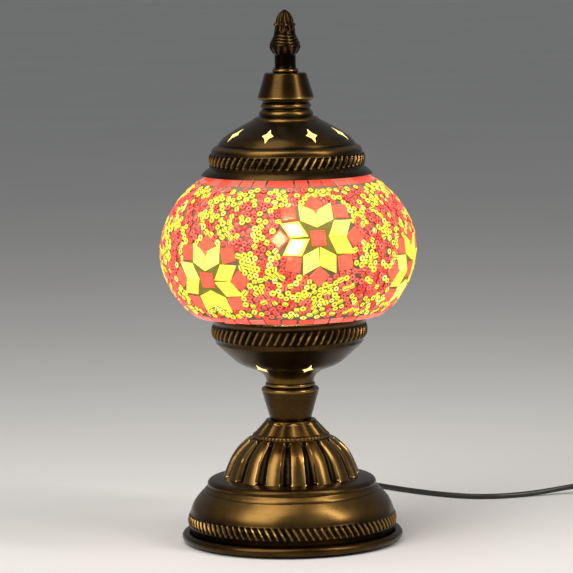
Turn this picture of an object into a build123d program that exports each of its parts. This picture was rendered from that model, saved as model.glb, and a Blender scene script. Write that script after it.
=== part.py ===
"""Mosaic glass table lamp: spun metal foot, bowl and cap, a mosaic globe held on a harp, and a mains lead.

Millimetres. +Z is up, the origin is the middle of the foot's underside, and -Y is the lamp's front.
Angles round the lamp (bearings) start at the front and grow towards +X.
"""

from build123d import *
import math
import os

os.makedirs("parts", exist_ok=True)

# ---------------------------------------------------------------- driving dimensions
SHEET = 1.2  # wall of the spun metal pieces
REST_GAP = 0.1  # between flat faces that rest on each other but come apart

# heights of the stack, from the table up
FELT_TOP = 1.2
PLATE_TOP = 2.6
BELL_TOP = 40.9
DOME_TOP = 65.3
CROWN_TOP = 76.6
NECK_TOP = 97.4
COLLAR_TOP = 100.4
BOWL_LIP = 141.3
BOWL_LIP_R = 50.8
GLOBE_BOTTOM = 141.7
CAP_LIP = 230.6
CAP_TOP = 276.8
CONE_TOP = 293.5
FINIAL_FOOT = 296.4
LAMP_TOP = 332.5

# foot
FOOT_R = 69.3
RIM_BEAD_R = 2.8
BELL_FOOT_R = 62.6
CORD_HOLE_R = 4.2
FLUTES = 16
FLUTE_TURN = 17.25  # the first groove's angle from +X
FLUTE_R = 3.2  # of the round cutter that makes a groove
FLUTE_LIFT = 1.6  # of its middle above the dome's side
DOME_WALL = 3.4

# globe: an oblate spheroid with a flattened bottom and a round opening at each end
GLOBE_R = 80.2
GLOBE_HALF_HEIGHT = 60.4
GLOBE_MIDDLE = 183.5
GLOBE_OPENING_R = 46.0
GROUT_OPENING_R = 47.8  # of the plaster's upper edge
BEAD_PROUD = 0.5  # glass beads stand this far out of the tiles
TILE = 1.1  # thickness of the cut glass tiles
GROUT = 1.0
GLASS = 2.2

# mosaic stars: bearing in degrees and height of each middle
STARS = ((14, 197.5), (73, 172.5), (135, 195), (197, 173), (258, 196), (320.5, 171.5))
SQUARE = 9.4  # side of a square tile
RHOMB = 11.8  # side of a star's rhombus
RHOMB_ANGLE = 64
STAR_CORE = 5.9  # from the star's middle to the inner corner of its rhombi
LEVEL_REACH = STAR_CORE + RHOMB + SQUARE / math.sqrt(2) + 0.8  # to the squares at the tips of its arms
CORNER_REACH = 23.2  # to the squares between the arms
TILE_JOINT = 0.4  # between a tile and the next
BORDER_TILES = 38
UPPER_BORDER = 228.2  # heights of the rows of border tiles
LOWER_BORDER = 145.4

# threaded pipe and its fittings
PIPE_R = 5.0
PIPE_BORE_R = 3.8
PIPE_LOW = 31.0
PIPE_HIGH = 124.0
PIPE_HOLE_R = PIPE_R + 0.3
NUT_FLATS = 16.0
NUT = 4.0
WASHER_R = 9.5
WASHER = 1.0

# harp and stud
HARP_WIRE_R = 1.6
HARP_FOOT_X = 33.0
SADDLE_Z = 118.4
BOSS_LOW = 246.0
BOSS_TOP = 251.0
STUD_R = 2.9
STUD_TOP = 304.0
STUD_HOLE_R = STUD_R + 0.4
THREAD_FIT = 0.08  # radial clearance where a thread is drawn as a plain cylinder

# lamp holder and bulb (small screw cap, 14 mm)
HOLDER_R = 13.5
HOLDER_LOW = SADDLE_Z + SHEET
HOLDER_FLOOR = 131.0
HOLDER_TOP = 152.0
BULB_CAP_R = 7.0
BULB_R = 22.5
BULB_MIDDLE = 183.5
BULB_TOP = BULB_MIDDLE + BULB_R

# mains lead
CORD_R = 1.75
EXIT_Z = 13.2  # height of the hole in the foot's back
EXIT_Y = 88.0  # where the lead leaves its boot
LEAD_SPLIT_Y = 76.0  # inside the boot, where the lead's outer run takes over from its inner one

# switch in the lead, coil and plug, all lying beside the lamp
SWITCH_X, SWITCH_Y = 236.0, 150.0
SWITCH_LONG, SWITCH_WIDE, SWITCH_SPLIT, SWITCH_TALL = 62.0, 26.0, 7.0, 15.0
ROCKER_LONG, ROCKER_WIDE, ROCKER_TILT = 20.0, 11.0, 7.0
COIL_X, COIL_Y = 312.0, 126.0
COIL_LOW, COIL_HIGH = 0.9, 15.1
COIL_INNER_R, COIL_OUTER_R = 15.4, 27.4
TIE = 0.8
TIE_DEGREES = 22
PLUG_X, PLUG_Y, PLUG_Z = 258.0, 102.0, 6.85


# ---------------------------------------------------------------- helpers
def edges_along(start, path):
    """Edges from start through path: a tuple ends a straight line, a list is a smooth curve."""
    edges = []
    for step in path:
        if isinstance(step, list):
            edges.append(Spline(start, *step))
            start = step[-1]
        else:
            edges.append(Line(start, step))
            start = step
    return edges


def turned(start, *path):
    """A solid turned about Z from a closed outline of (radius, height) points."""
    edges = edges_along(start, [*path, start])
    return revolve(Plane.XZ * make_face(edges), Axis.Z)


def inset(points, wall):
    """The points moved inwards by the wall, square to the line that climbs through them."""
    moved = []
    for i, (r, z) in enumerate(points):
        ahead = points[min(i + 1, len(points) - 1)]
        behind = points[max(i - 1, 0)]
        normals = []
        for (r0, z0), (r1, z1) in ((behind, (r, z)), ((r, z), ahead)):
            long = math.hypot(r1 - r0, z1 - z0)
            if long > 0:
                normals.append(((z1 - z0) / long, (r0 - r1) / long))
        nr = sum(n[0] for n in normals) / len(normals)
        nz = sum(n[1] for n in normals) / len(normals)
        square = nr * nr + nz * nz
        moved.append((r - wall * nr / square, z - wall * nz / square))
    return moved


def spun(wall, start, *path):
    """A sheet of even thickness spun about Z, from the outline of its outside, foot first."""
    steps = [step if isinstance(step, list) else [step] for step in (start, *path)]
    outside = [point for step in steps for point in step]
    inside = iter(inset(outside, wall))
    mirrored = [[next(inside) for _ in step] for step in steps]
    (foot_r, foot_z), (next_r, next_z) = outside[:2]
    if next_z - foot_z > abs(next_r - foot_r):  # a wall that stands up gets a level foot
        square = (next_z - foot_z) / math.hypot(next_r - foot_r, next_z - foot_z)
        mirrored[0][0] = (foot_r - wall / square, foot_z)
    (near_r, near_z), (lip_r, lip_z) = outside[-2:]
    if lip_z - near_z > abs(lip_r - near_r) / 2:  # and one that ends rising gets a level lip
        square = (lip_z - near_z) / math.hypot(lip_r - near_r, lip_z - near_z)
        mirrored[-1][-1] = (lip_r - wall / square, lip_z)
    inward = [mirrored[-1][-1]]
    for before, step in zip(reversed(mirrored[:-1]), reversed(mirrored[1:])):
        run = [*reversed(step[:-1]), before[-1]]
        inward.append(run if len(run) > 1 else run[0])
    return turned(start, *path, *inward)


def disc(r, low, high):
    return Pos(0, 0, low) * extrude(Circle(r), high - low)


def ring(inner_r, outer_r, low, high):
    """A flat-ended tube about Z."""
    return Pos(0, 0, low) * extrude(Circle(outer_r) - Circle(inner_r), high - low)


def hex_nut(low):
    """A pipe nut, its hole at the thread's outer radius plus the fit."""
    blank = RegularPolygon(NUT_FLATS / 2, 6, major_radius=False) - Circle(PIPE_R + THREAD_FIT)
    return Pos(0, 0, low) * extrude(blank, NUT)


def round_box(x, y, z, corner):
    """A box standing on Z = 0 with rounded upright corners."""
    return extrude(RectangleRounded(x, y, corner), z)


def globe_radius(z, depth=0.0):
    """Radius of the globe's surface at a height, a depth below the mosaic's outside."""
    across = GLOBE_R - depth
    up = GLOBE_HALF_HEIGHT - depth
    return across * math.sqrt(1 - ((z - GLOBE_MIDDLE) / up) ** 2)


def globe_plane(bearing, z, u=0.0, v=0.0, turn=0.0, depth=0.0):
    """The plane that touches the globe at a bearing and height, moved u sideways and v up the surface."""
    across, up = GLOBE_R - depth, GLOBE_HALF_HEIGHT - depth
    angle = math.radians(bearing)
    r = globe_radius(z, depth)
    start = Vector(r * math.sin(angle), -r * math.cos(angle), z - GLOBE_MIDDLE)
    side = Vector(math.cos(angle), math.sin(angle), 0)
    out = Vector(start.X / across**2, start.Y / across**2, start.Z / up**2).normalized()
    spot = start + side * u + out.cross(side) * v
    spot = spot * (1 / math.hypot(spot.X / across, spot.Y / across, spot.Z / up))
    out = Vector(spot.X / across**2, spot.Y / across**2, spot.Z / up**2).normalized()
    x_dir = (side - out * side.dot(out)).normalized().rotate(Axis((0, 0, 0), out), turn)
    return Plane(origin=spot + Vector(0, 0, GLOBE_MIDDLE), x_dir=x_dir, z_dir=out)


def cord_tube(name, points):
    """A round lead along straight runs joined by the largest tangent arcs, and its bend radii."""
    radii = []
    places = [Vector(*p) for p in points]
    for before, here, after in zip(places, places[1:], places[2:]):
        half_turn = math.radians((here - before).get_angle(after - here)) / 2
        shorter = min((here - before).length, (after - here).length)
        radii.append(0.45 * shorter / math.tan(half_turn))
    path = FilletPolyline(*points, radius=radii)
    tube = sweep(Plane(path @ 0, z_dir=path % 0) * Circle(CORD_R), path)
    share = tube.volume / (math.pi * CORD_R**2 * path.length)
    print(name, "length", round(path.length, 1), "volume share", round(share, 4))
    print(name, "bend radii", [round(r, 1) for r in radii])
    return tube


def cut_star(size, long):
    """A four-pointed star prism, long enough to pierce a wall on both sides of its middle."""
    waist = 0.38 * size
    points = [
        ((size if i % 2 == 0 else waist) * math.cos(i * math.pi / 4),
         (size if i % 2 == 0 else waist) * math.sin(i * math.pi / 4))
        for i in range(8)
    ]
    return Pos(0, 0, -long / 2) * extrude(make_face(Polyline(*points, close=True)), long)


def pierced(shell, count, first_bearing, r, z, slope, size):
    """The shell with a row of star-shaped holes, square to a wall that faces slope degrees above level."""
    for i in range(count):
        bearing = first_bearing + i * 360 / count
        hole = Rot(0, 0, bearing) * Pos(0, -r, z) * Rot(90 - slope, 0, 0) * cut_star(size, 6)
        shell = shell - hole
    return shell


# ---------------------------------------------------------------- foot
def felt_pad():
    return ring(12, FOOT_R - 6, 0, FELT_TOP)


def base_plate():
    """Flat steel plate with a rolled rim, which the bell's foot stands in."""
    bead_x = FOOT_R - RIM_BEAD_R
    bead_z = FELT_TOP + RIM_BEAD_R
    bead = revolve(Plane.XZ * (Pos(bead_x, bead_z) * Circle(RIM_BEAD_R)), Axis.Z)
    return disc(bead_x, FELT_TOP, PLATE_TOP) + bead


def ballast_ring():
    outline = [(14, PLATE_TOP), (50, PLATE_TOP), (52, 4.6), (52, 8.4), (51.2, 9.2), (14.8, 9.2), (14, 8.4)]
    return turned(*outline)


def base_bell():
    """Bell-shaped foot: plain band, rope bead, swelling side, rolled shoulder and flat top."""
    shell = spun(
        SHEET,
        (BELL_FOOT_R, PLATE_TOP),
        (64.2, 9.4),
        [(65.3, 11.6), (65.6, 14.2), (65.0, 16.9), (63.9, 18.8)],
        [(62.9, 22.2), (60.8, 26.3), (57.9, 29.9), (54.5, 33.6), (53.0, 35.4)],
        [(52.9, 37.2), (51.4, 39.2), (48.6, 40.1)],
        (44.0, BELL_TOP),
        (PIPE_HOLE_R, BELL_TOP),
    )
    cord_hole = Plane((0, FOOT_R, EXIT_Z), z_dir=(0, -1, 0)) * extrude(Circle(CORD_HOLE_R), 12)
    return shell - cord_hole


DOME_SIDE = [(41.3, 44.4), (39.3, 49.2), (36.8, 54.3), (33.0, 59.3), (28.0, 63.8)]


def fluted_dome():
    """Dome with sixteen ribs left standing between round grooves."""
    dome = spun(DOME_WALL, (42.5, BELL_TOP), DOME_SIDE, (26.0, DOME_TOP), (PIPE_HOLE_R, DOME_TOP))
    spine = [(r + FLUTE_LIFT * 0.9, z + FLUTE_LIFT * 0.45) for r, z in [(42.5, BELL_TOP), *DOME_SIDE]]
    path = Plane.XZ * Spline(*spine)
    groove = sweep(Plane(path @ 0, z_dir=path % 0) * Circle(FLUTE_R), path)
    for i in range(FLUTES):
        dome = dome - Rot(0, 0, FLUTE_TURN + i * 360 / FLUTES) * groove
    return dome


def dome_crown():
    return spun(1.6, (23.9, DOME_TOP), (23.4, 67.6), (15.4, CROWN_TOP), (PIPE_HOLE_R, CROWN_TOP))


def neck_cone():
    """Inverted cone with a rounded top edge, closed below and above."""
    shell = turned(
        (PIPE_HOLE_R, CROWN_TOP),
        (12.7, CROWN_TOP),
        (17.9, 94.8),
        [(18.0, 95.8), (17.5, 96.7), (16.4, NECK_TOP)],
        (PIPE_HOLE_R, NECK_TOP),
    )
    hollow = turned((0, CROWN_TOP + 2), (11.6, CROWN_TOP + 2), (16.0, 93.8), (14.0, 95.4), (0, 95.4))
    return shell - hollow


def neck_collar():
    return turned(
        (PIPE_HOLE_R, NECK_TOP), (14.5, NECK_TOP), [(15.5, 98.2), (15.5, 99.4), (14.7, COLLAR_TOP)],
        (PIPE_HOLE_R, COLLAR_TOP),
    )


# ---------------------------------------------------------------- bowl under the globe
def lower_bowl():
    """Ogee bowl with a rope bead under its flared lip and six star-shaped light holes."""
    shell = spun(
        SHEET,
        (PIPE_HOLE_R, COLLAR_TOP),
        (14.7, COLLAR_TOP),
        [(15.3, 102.9), (19.6, 107.3), (26.2, 110.1), (31.7, 112.6), (37.7, 117.6), (43.2, 122.6)],
        (46.0, 125.4),
        (46.6, 127.9),
        [(48.4, 129.9), (48.9, 133.0), (48.5, 135.8), (47.4, 137.6)],
        [(48.6, 139.4), (BOWL_LIP_R, BOWL_LIP)],
    )
    return pierced(shell, 6, 22.6, 28.5, 111.2, -65, 4.4)


def globe_seat_ring():
    """Soft ring in the bowl's mouth that the globe's edge is held off the metal by."""
    high = GLOBE_BOTTOM - 2 * REST_GAP
    return turned((44.4, 138.4), (45.7, 138.4), [(46.4, 139.8), (47.4, high)], (44.4, high))


# ---------------------------------------------------------------- pipe, nuts and washers
NUT_LEVELS = (BELL_TOP - SHEET - WASHER - NUT, COLLAR_TOP + SHEET + WASHER, SADDLE_Z - NUT)
WASHER_LEVELS = (BELL_TOP - SHEET - WASHER, COLLAR_TOP + SHEET)


def lamp_pipe():
    return ring(PIPE_BORE_R, PIPE_R, PIPE_LOW, PIPE_HIGH)


def pipe_nuts():
    return Compound([hex_nut(z) for z in NUT_LEVELS])


def pipe_washers():
    return Compound([ring(PIPE_HOLE_R, WASHER_R, z, z + WASHER) for z in WASHER_LEVELS])


# ---------------------------------------------------------------- harp that the cap is screwed to
def harp_saddle():
    """Steel strip across the pipe with turned-up ends, each bored for a leg of the harp."""
    half = HARP_FOOT_X + 2.6
    strip = Pos(0, 0, SADDLE_Z) * extrude(Rectangle(2 * half, 11) - Circle(PIPE_HOLE_R), SHEET)
    for side in (-1, 1):
        ear = Pos(side * HARP_FOOT_X, 0, SADDLE_Z + SHEET) * extrude(
            RectangleRounded(5.2, 8, 1.5) - Circle(HARP_WIRE_R + 0.02), 6
        )
        strip = strip + ear
    return strip


def harp_wire():
    """Bent wire from one end of the saddle over the bulb to the other."""
    leg = [(HARP_FOOT_X, SADDLE_Z + SHEET), (HARP_FOOT_X, 138), (41, 176), (33, 232), (11, BOSS_LOW + 2.5)]
    right = [(x, 0, z) for x, z in leg]
    left = [(-x, 0, z) for x, z in reversed(leg)]
    path = FilletPolyline(*right, *left, radius=[30, 45, 26, 12, 12, 26, 45, 30])
    return sweep(Plane(path @ 0, z_dir=path % 0) * Circle(HARP_WIRE_R), path) - harp_boss()


def harp_boss():
    low = BOSS_LOW - 0.6
    return turned((0, low), (6.2, low), (7.0, low + 1), (7.0, BOSS_TOP - 1), (6, BOSS_TOP), (0, BOSS_TOP))


def harp_stud():
    tip_r, tip_z = STUD_R - 0.8, STUD_TOP - 0.8
    return turned((0, BOSS_TOP), (STUD_R, BOSS_TOP), (STUD_R, tip_z), (tip_r, STUD_TOP), (0, STUD_TOP))


# ---------------------------------------------------------------- lamp holder
def socket_cap():
    """Cup that screws onto the pipe's end."""
    return turned(
        (PIPE_R + THREAD_FIT, HOLDER_LOW),
        (11.0, HOLDER_LOW),
        [(12.9, HOLDER_LOW + 1.4), (HOLDER_R, HOLDER_LOW + 4)],
        (HOLDER_R, HOLDER_FLOOR),
        (HOLDER_R - 1.5, HOLDER_FLOOR),
        (HOLDER_R - 1.5, HOLDER_LOW + 4.6),
        (10.4, HOLDER_LOW + 1.6),
        (PIPE_R + THREAD_FIT, HOLDER_LOW + 1.6),
    )


def socket_core():
    return ring(2.2, HOLDER_R - 1.6, HOLDER_FLOOR - 4, HOLDER_FLOOR)


def socket_skirt():
    """Plain sleeve with a rounded mouth, screwed to the cup."""
    inner = HOLDER_R - 1.4
    return turned(
        (inner, HOLDER_FLOOR),
        (HOLDER_R + 0.6, HOLDER_FLOOR),
        (HOLDER_R + 0.6, HOLDER_FLOOR + 5),
        (HOLDER_R, HOLDER_FLOOR + 5.6),
        (HOLDER_R, HOLDER_TOP - 0.8),
        [(HOLDER_R - 0.3, HOLDER_TOP - 0.1), (HOLDER_R - 1, HOLDER_TOP)],
        (inner, HOLDER_TOP - 1),
    )


def socket_screw_shell():
    inner = BULB_CAP_R + THREAD_FIT
    return ring(inner, inner + 0.6, HOLDER_FLOOR, HOLDER_TOP - 2)


def socket_tongue():
    """Springy centre contact under the bulb's tip."""
    return Pos(0, 0, HOLDER_FLOOR) * extrude(RectangleRounded(9, 4, 1.5), 0.6)


# ---------------------------------------------------------------- bulb
def bulb_contact():
    """Solder tip on its insulating button."""
    return turned((0, 132.0), (2.2, 132.0), (2.6, 132.6), (4.6, 133.1), (5.6, 133.6), (0, 133.6))


def bulb_cap():
    return turned(
        (5.8, 133.7), (6.6, 133.9), (BULB_CAP_R, 134.6), (BULB_CAP_R, 150.5), (8.6, 152.6), (8.6, 154.6),
        (7.9, 154.6), (6.3, 150.9), (6.3, 135.2), (5.2, 134.4),
    )


def bulb_glass():
    """Round bulb, a thin shell open at its neck."""
    outside = [(10.4, 158.4), (16.2, 166.4), (21.4, 176.6), (BULB_R, BULB_MIDDLE), (20.4, 193.0)]
    outside += [(13.4, 201.6), (4.0, BULB_TOP - 0.36)]
    return spun(0.8, (7.8, 155.2), outside, (0.8, BULB_TOP))


def bulb_stem():
    """Glass stem that carries the filaments."""
    return turned((0, 155), (5.2, 155), [(3.4, 160), (2.0, 166)], (1.6, 172), (0, 172.6))


def bulb_filaments():
    """Four straight filaments leaning outwards round the stem."""
    rods = []
    for i in range(4):
        rod = Pos(5.4, 0, 168) * Rot(0, 7, 0) * extrude(Circle(0.9), 26)
        rods.append(Rot(0, 0, 45 + 90 * i) * rod)
    return Compound(rods)


# ---------------------------------------------------------------- globe
def globe_body(depth, low, corner_r):
    """Half outline of a form as deep below the mosaic's outside as depth, and flat at a height."""
    ellipse = Pos(0, GLOBE_MIDDLE) * Ellipse(GLOBE_R - depth, GLOBE_HALF_HEIGHT - depth)
    keep = Pos(GLOBE_R / 2, (low + 240) / 2) * Rectangle(GLOBE_R * 1.2, 240 - low)
    half = ellipse & keep & (Pos(GLOBE_R, GLOBE_MIDDLE) * Rectangle(2 * GLOBE_R, 200))
    corner = half.vertices().group_by(Axis.Y)[0].sort_by(Axis.X)[-1]
    return fillet(corner, corner_r)


def globe_layer(outside, inside, opening_r):
    """One layer of the globe, between two outlines and open at the top and the bottom."""
    opening = Pos(opening_r / 2, GLOBE_MIDDLE) * Rectangle(opening_r, 200)
    return revolve(Plane.XZ * (outside - inside - opening), Axis.Z)


TILE_BACK = BEAD_PROUD + TILE + 0.1
GROUT_BACK = TILE_BACK + GROUT


def globe_outside():
    return globe_body(GROUT_BACK, GLOBE_BOTTOM, 6)


def grout_layer():
    """Plaster that the mosaic is bedded in, ending short of the bowl's lip and of the cap's seat ring."""
    layer = globe_layer(globe_body(TILE_BACK, GLOBE_BOTTOM + 0.6, 6), globe_outside(), GROUT_OPENING_R)
    return layer - Pos(0, 0, GLOBE_BOTTOM) * extrude(Circle(BOWL_LIP_R + 0.8), 10)


def glass_globe():
    inside = globe_body(GROUT_BACK + GLASS, GLOBE_BOTTOM + GLASS, 5)
    return globe_layer(globe_outside(), inside, GLOBE_OPENING_R)


def tile(plane, outline):
    """A flat glass tile with its back just off the grout."""
    return plane * (Pos(0, 0, 0.06) * extrude(outline, TILE - 0.3))


def star_tiles():
    """Eight rhombi in four pairs round the middle of each star."""
    lean = math.radians(RHOMB_ANGLE)
    tall = RHOMB * math.sin(lean)
    skew = RHOMB * math.cos(lean)
    tiles = []
    for bearing, height in STARS:
        for quarter in range(4):
            for side in (-1, 1):
                corners = [(0, 0), (RHOMB, 0), (RHOMB + skew, side * tall), (skew, side * tall)]
                middle = ((RHOMB + skew) / 2, side * tall / 2)
                centred = [(x - middle[0], y - middle[1]) for x, y in corners]
                outline = offset(make_face(Polyline(*centred, close=True)), -0.25)
                angle = math.radians(90 * quarter)
                u = (STAR_CORE + middle[0]) * math.cos(angle) - middle[1] * math.sin(angle)
                v = (STAR_CORE + middle[0]) * math.sin(angle) + middle[1] * math.cos(angle)
                plane = globe_plane(bearing, height, u, v, 90 * quarter, TILE_BACK)
                tiles.append(tile(plane, outline))
    return Compound(tiles)


def square_tiles():
    """The square in each star's middle and the eight round it."""
    tiles = []
    for bearing, height in STARS:
        places = [(0, 0, 0)]
        for i in range(8):
            reach = LEVEL_REACH if i % 2 == 0 else CORNER_REACH
            angle = math.radians(45 * i)
            places.append((reach * math.cos(angle), reach * math.sin(angle), 45 if i % 2 == 0 else 0))
        for u, v, turn in places:
            plane = globe_plane(bearing, height, u, v, turn, TILE_BACK)
            if LOWER_BORDER + 8 < plane.origin.Z < UPPER_BORDER - 8:
                tiles.append(tile(plane, Rectangle(SQUARE - TILE_JOINT, SQUARE - TILE_JOINT)))
    return Compound(tiles)


def border_tiles(height, long):
    """A row of tiles round one of the globe's openings."""
    wide = 2 * math.pi * globe_radius(height, TILE_BACK) / BORDER_TILES - 1.0
    tiles = []
    for i in range(BORDER_TILES):
        plane = globe_plane(360 * i / BORDER_TILES, height, depth=TILE_BACK)
        tiles.append(tile(plane, Rectangle(wide, long)))
    return Compound(tiles)


# ---------------------------------------------------------------- cap and finial
def upper_cap():
    """Domed cap: flared lip, rope bead, dome with eight light holes, ringed neck."""
    shell = spun(
        SHEET,
        (53.3, CAP_LIP),
        [(52.1, 232.0), (50.4, 233.6), (48.0, 235.2)],
        [(48.5, 237.6), (48.9, 240.2), (48.4, 242.6), (46.9, 244.4)],
        [(46.5, 246.3), (44.9, 247.8)],
        [(43.2, 249.3), (39.9, 252.9), (34.2, 257.0), (27.4, 261.0), (20.8, 264.4)],
        [(19.2, 265.9), (17.0, 267.3)],
        [(16.4, 269.1), (15.2, 270.8)],
        [(15.4, 273.1), (14.8, 274.8)],
        (14.9, CAP_TOP),
        (STUD_HOLE_R, CAP_TOP),
    )
    return pierced(shell, 8, 22.5, 36.2, 255.6, 53, 4.6)


def cap_seat_ring():
    """Soft ring in the cap that rests on the globe's upper edge."""
    low = 230.2
    return turned((44.2, low), (47.4, low), [(47.3, 232.4), (46.6, 234.4)], (44.2, 234.4))


def cap_cone():
    """Cone between the cap's neck and the finial."""
    return spun(
        1.6, (16.8, CAP_TOP), (17.6, 278.2), (13.1, 293.0), (12.5, CONE_TOP), (STUD_HOLE_R, CONE_TOP)
    )


def finial_washer():
    low, high = CONE_TOP + REST_GAP, FINIAL_FOOT - REST_GAP
    edge = [(8.1, low + 1.0), (8.1, high - 1.0), (7.3, high)]
    return turned((STUD_HOLE_R, low), (7.5, low), edge, (STUD_HOLE_R, high))


def finial():
    """Turned finial: plain barrel, swelling bulb, waist, curled petals and pointed bud."""
    bore_r, bore_top = STUD_R + THREAD_FIT, STUD_TOP + 1.5
    return turned(
        (bore_r, FINIAL_FOOT),
        (6.9, FINIAL_FOOT),
        (6.6, 297.6),
        (6.6, 304.4),
        [(8.0, 306.2), (9.5, 309.9), (8.5, 313.4), (6.9, 316.6), (6.5, 318.8)],
        [(6.9, 320.4), (7.8, 322.4)],
        [(7.0, 323.5), (5.4, 324.2)],
        [(5.5, 326.4), (4.5, 329.2), (2.6, 331.6), (0.6, LAMP_TOP)],
        (0, LAMP_TOP),
        (0, bore_top),
        (bore_r, bore_top),
    )


# ---------------------------------------------------------------- mains lead
LAMP_RUN = [
    (0, LEAD_SPLIT_Y, EXIT_Z),
    (0, EXIT_Y, EXIT_Z),
    (0.5, 106, 12.0),
    (2, 127, 4.6),
    (6, 151, CORD_R),
    (18, 187, CORD_R),
    (46, 199, CORD_R),
    (76, 165, CORD_R),
    (106, 140, CORD_R),
    (131, 131.5, CORD_R),
    (160, 141, CORD_R),
    (184, 149.3, 4.2),
    (SWITCH_X - SWITCH_LONG / 2, SWITCH_Y, SWITCH_SPLIT),
]
SWITCH_RUN = [
    (SWITCH_X + SWITCH_LONG / 2, SWITCH_Y, SWITCH_SPLIT),
    (279, 149.6, 6.2),
    (290, 149.8, 3.4),
    (301, 151.0, 2.7),
    (COIL_X, COIL_Y + 25.5, 2.7),
]
TAIL_RUN = [
    (COIL_X, COIL_Y - 25.5, 13.3),
    (299, 100.6, 12.7),
    (287, 101.5, 9.0),
    (PLUG_X + 17, PLUG_Y, PLUG_Z),
]
LEAD_INSIDE = [(0, LEAD_SPLIT_Y, EXIT_Z), (0, 15, EXIT_Z), (0, 0, 28), (0, 0, 126.5)]


def cord_relief():
    """Tapered rubber boot, held in the foot's hole by a groove between two flanges."""
    profile = [(1.9, 60.0), (5.0, 60.0), (5.0, 62.3), (4.0, 62.3), (4.0, 66.0), (5.0, 66.0), (5.0, 67.6)]
    profile += [(3.9, 68.6), (2.7, EXIT_Y), (1.9, EXIT_Y)]
    boot = turned(profile[0], *profile[1:])
    return Pos(0, 0, EXIT_Z) * Rot(-90, 0, 0) * boot


def lead_inside():
    """The lead from its boot through the foot and up the pipe to the lamp holder."""
    path = FilletPolyline(*LEAD_INSIDE, radius=16)
    return sweep(Plane(path @ 0, z_dir=path % 0) * Circle(CORD_R), path)


def cord_coil():
    """Outer shape of the lead's neat round coil."""
    section = RectangleRounded(COIL_OUTER_R - COIL_INNER_R, COIL_HIGH - COIL_LOW, 3)
    middle = ((COIL_OUTER_R + COIL_INNER_R) / 2, (COIL_HIGH + COIL_LOW) / 2)
    return Pos(COIL_X, COIL_Y, 0) * revolve(Plane.XZ * (Pos(*middle) * section), Axis.Z)


def coil_tie():
    """Strap round the coil's turns."""
    wide = COIL_OUTER_R - COIL_INNER_R + 0.1
    tall = COIL_HIGH - COIL_LOW + 0.1
    band = RectangleRounded(wide + 2 * TIE, tall + 2 * TIE, 3.2) - RectangleRounded(wide, tall, 2.6)
    middle = ((COIL_OUTER_R + COIL_INNER_R) / 2, (COIL_HIGH + COIL_LOW) / 2)
    strap = revolve(Plane.XZ * (Pos(*middle) * band), Axis.Z, TIE_DEGREES)
    return Pos(COIL_X, COIL_Y, 0) * Rot(0, 0, -TIE_DEGREES / 2) * strap


# ---------------------------------------------------------------- switch in the lead
def switch_lower_shell():
    """Lower half of the switch's case, with a hole for each screw."""
    case = round_box(SWITCH_LONG, SWITCH_WIDE, SWITCH_SPLIT, 9)
    case = chamfer(case.faces().sort_by(Axis.Z)[0].edges(), 1.0)
    for side in (-1, 1):
        case = case - Pos(side * 20, 0, -1) * extrude(Circle(1.6), 20)
        case = case - Pos(side * 20, 0, -1) * extrude(Circle(2.9), 3)
    return Pos(SWITCH_X, SWITCH_Y, 0) * case


def switch_upper_shell():
    """Upper half, with a well for the rocker."""
    tall = SWITCH_TALL - SWITCH_SPLIT
    case = round_box(SWITCH_LONG, SWITCH_WIDE, tall, 9)
    case = fillet(case.faces().sort_by(Axis.Z)[-1].edges(), 2.6)
    case = case - Pos(0, 0, 1) * extrude(RectangleRounded(ROCKER_LONG + 1.4, ROCKER_WIDE + 1.0, 1), tall)
    for side in (-1, 1):
        case = case - Pos(side * 20, 0, -1) * extrude(Circle(1.6), 4.4)
    return Pos(SWITCH_X, SWITCH_Y, SWITCH_SPLIT) * case


def switch_screws():
    screws = []
    for side in (-1, 1):
        screw = disc(2.6, 0.9, 2.0) + disc(1.5, 2.0, 10.0)
        screws.append(Pos(SWITCH_X + side * 20, SWITCH_Y, 0) * screw)
    return Compound(screws)


ROCKER_PIVOT_Z = 12.6
ROCKER_PIN_R = 1.2


def switch_rocker():
    """Rocker with a stub pin each side, drawn level about its pins and tipped to its on position."""
    half = ROCKER_LONG / 2
    outline = [(-half, 2.6), (0, 4.0), (half, 2.6), (half - 1.2, -1.6), (-half + 1.2, -1.6)]
    face = make_face(Polyline(*outline, close=True))
    blade = extrude(Plane.XZ * face, ROCKER_WIDE / 2, both=True)
    blade = fillet(blade.edges().filter_by(Axis.Y).group_by(Axis.Z)[-1], 1.5)
    blade = blade + extrude(Plane.XZ * Circle(ROCKER_PIN_R), ROCKER_WIDE / 2 + 0.3, both=True)
    return Pos(SWITCH_X, SWITCH_Y, ROCKER_PIVOT_Z) * Rot(0, ROCKER_TILT, 0) * blade


# ---------------------------------------------------------------- plug with two round pins
PIN_R = 2.0
PIN_LONG = 19.0
PIN_APART = 18.6
PLUG_FACE = PLUG_X - 34.0


def plug_body():
    """Flat plug with waisted sides and a tapered boot towards the lead."""
    front, back = PLUG_FACE - PLUG_X, 0
    outline = [(front, -15.6), (front + 6, -17.4), (front + 15, -13.5), (back, -7.0), (back, 7.0)]
    outline += [(front + 15, 13.5), (front + 6, 17.4), (front, 15.6)]
    face = fillet(make_face(Polyline(*outline, close=True)).vertices(), 2.0)
    body = Pos(0, 0, -PLUG_Z) * extrude(face, 2 * PLUG_Z)
    body = fillet(body.faces().filter_by(Axis.Z).edges(), 2.2)
    boot = Plane((-0.5, 0, 0), z_dir=(1, 0, 0)) * extrude(Circle(4.6), 17.5, taper=6)
    return Pos(PLUG_X, PLUG_Y, PLUG_Z) * (body + boot)


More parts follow.
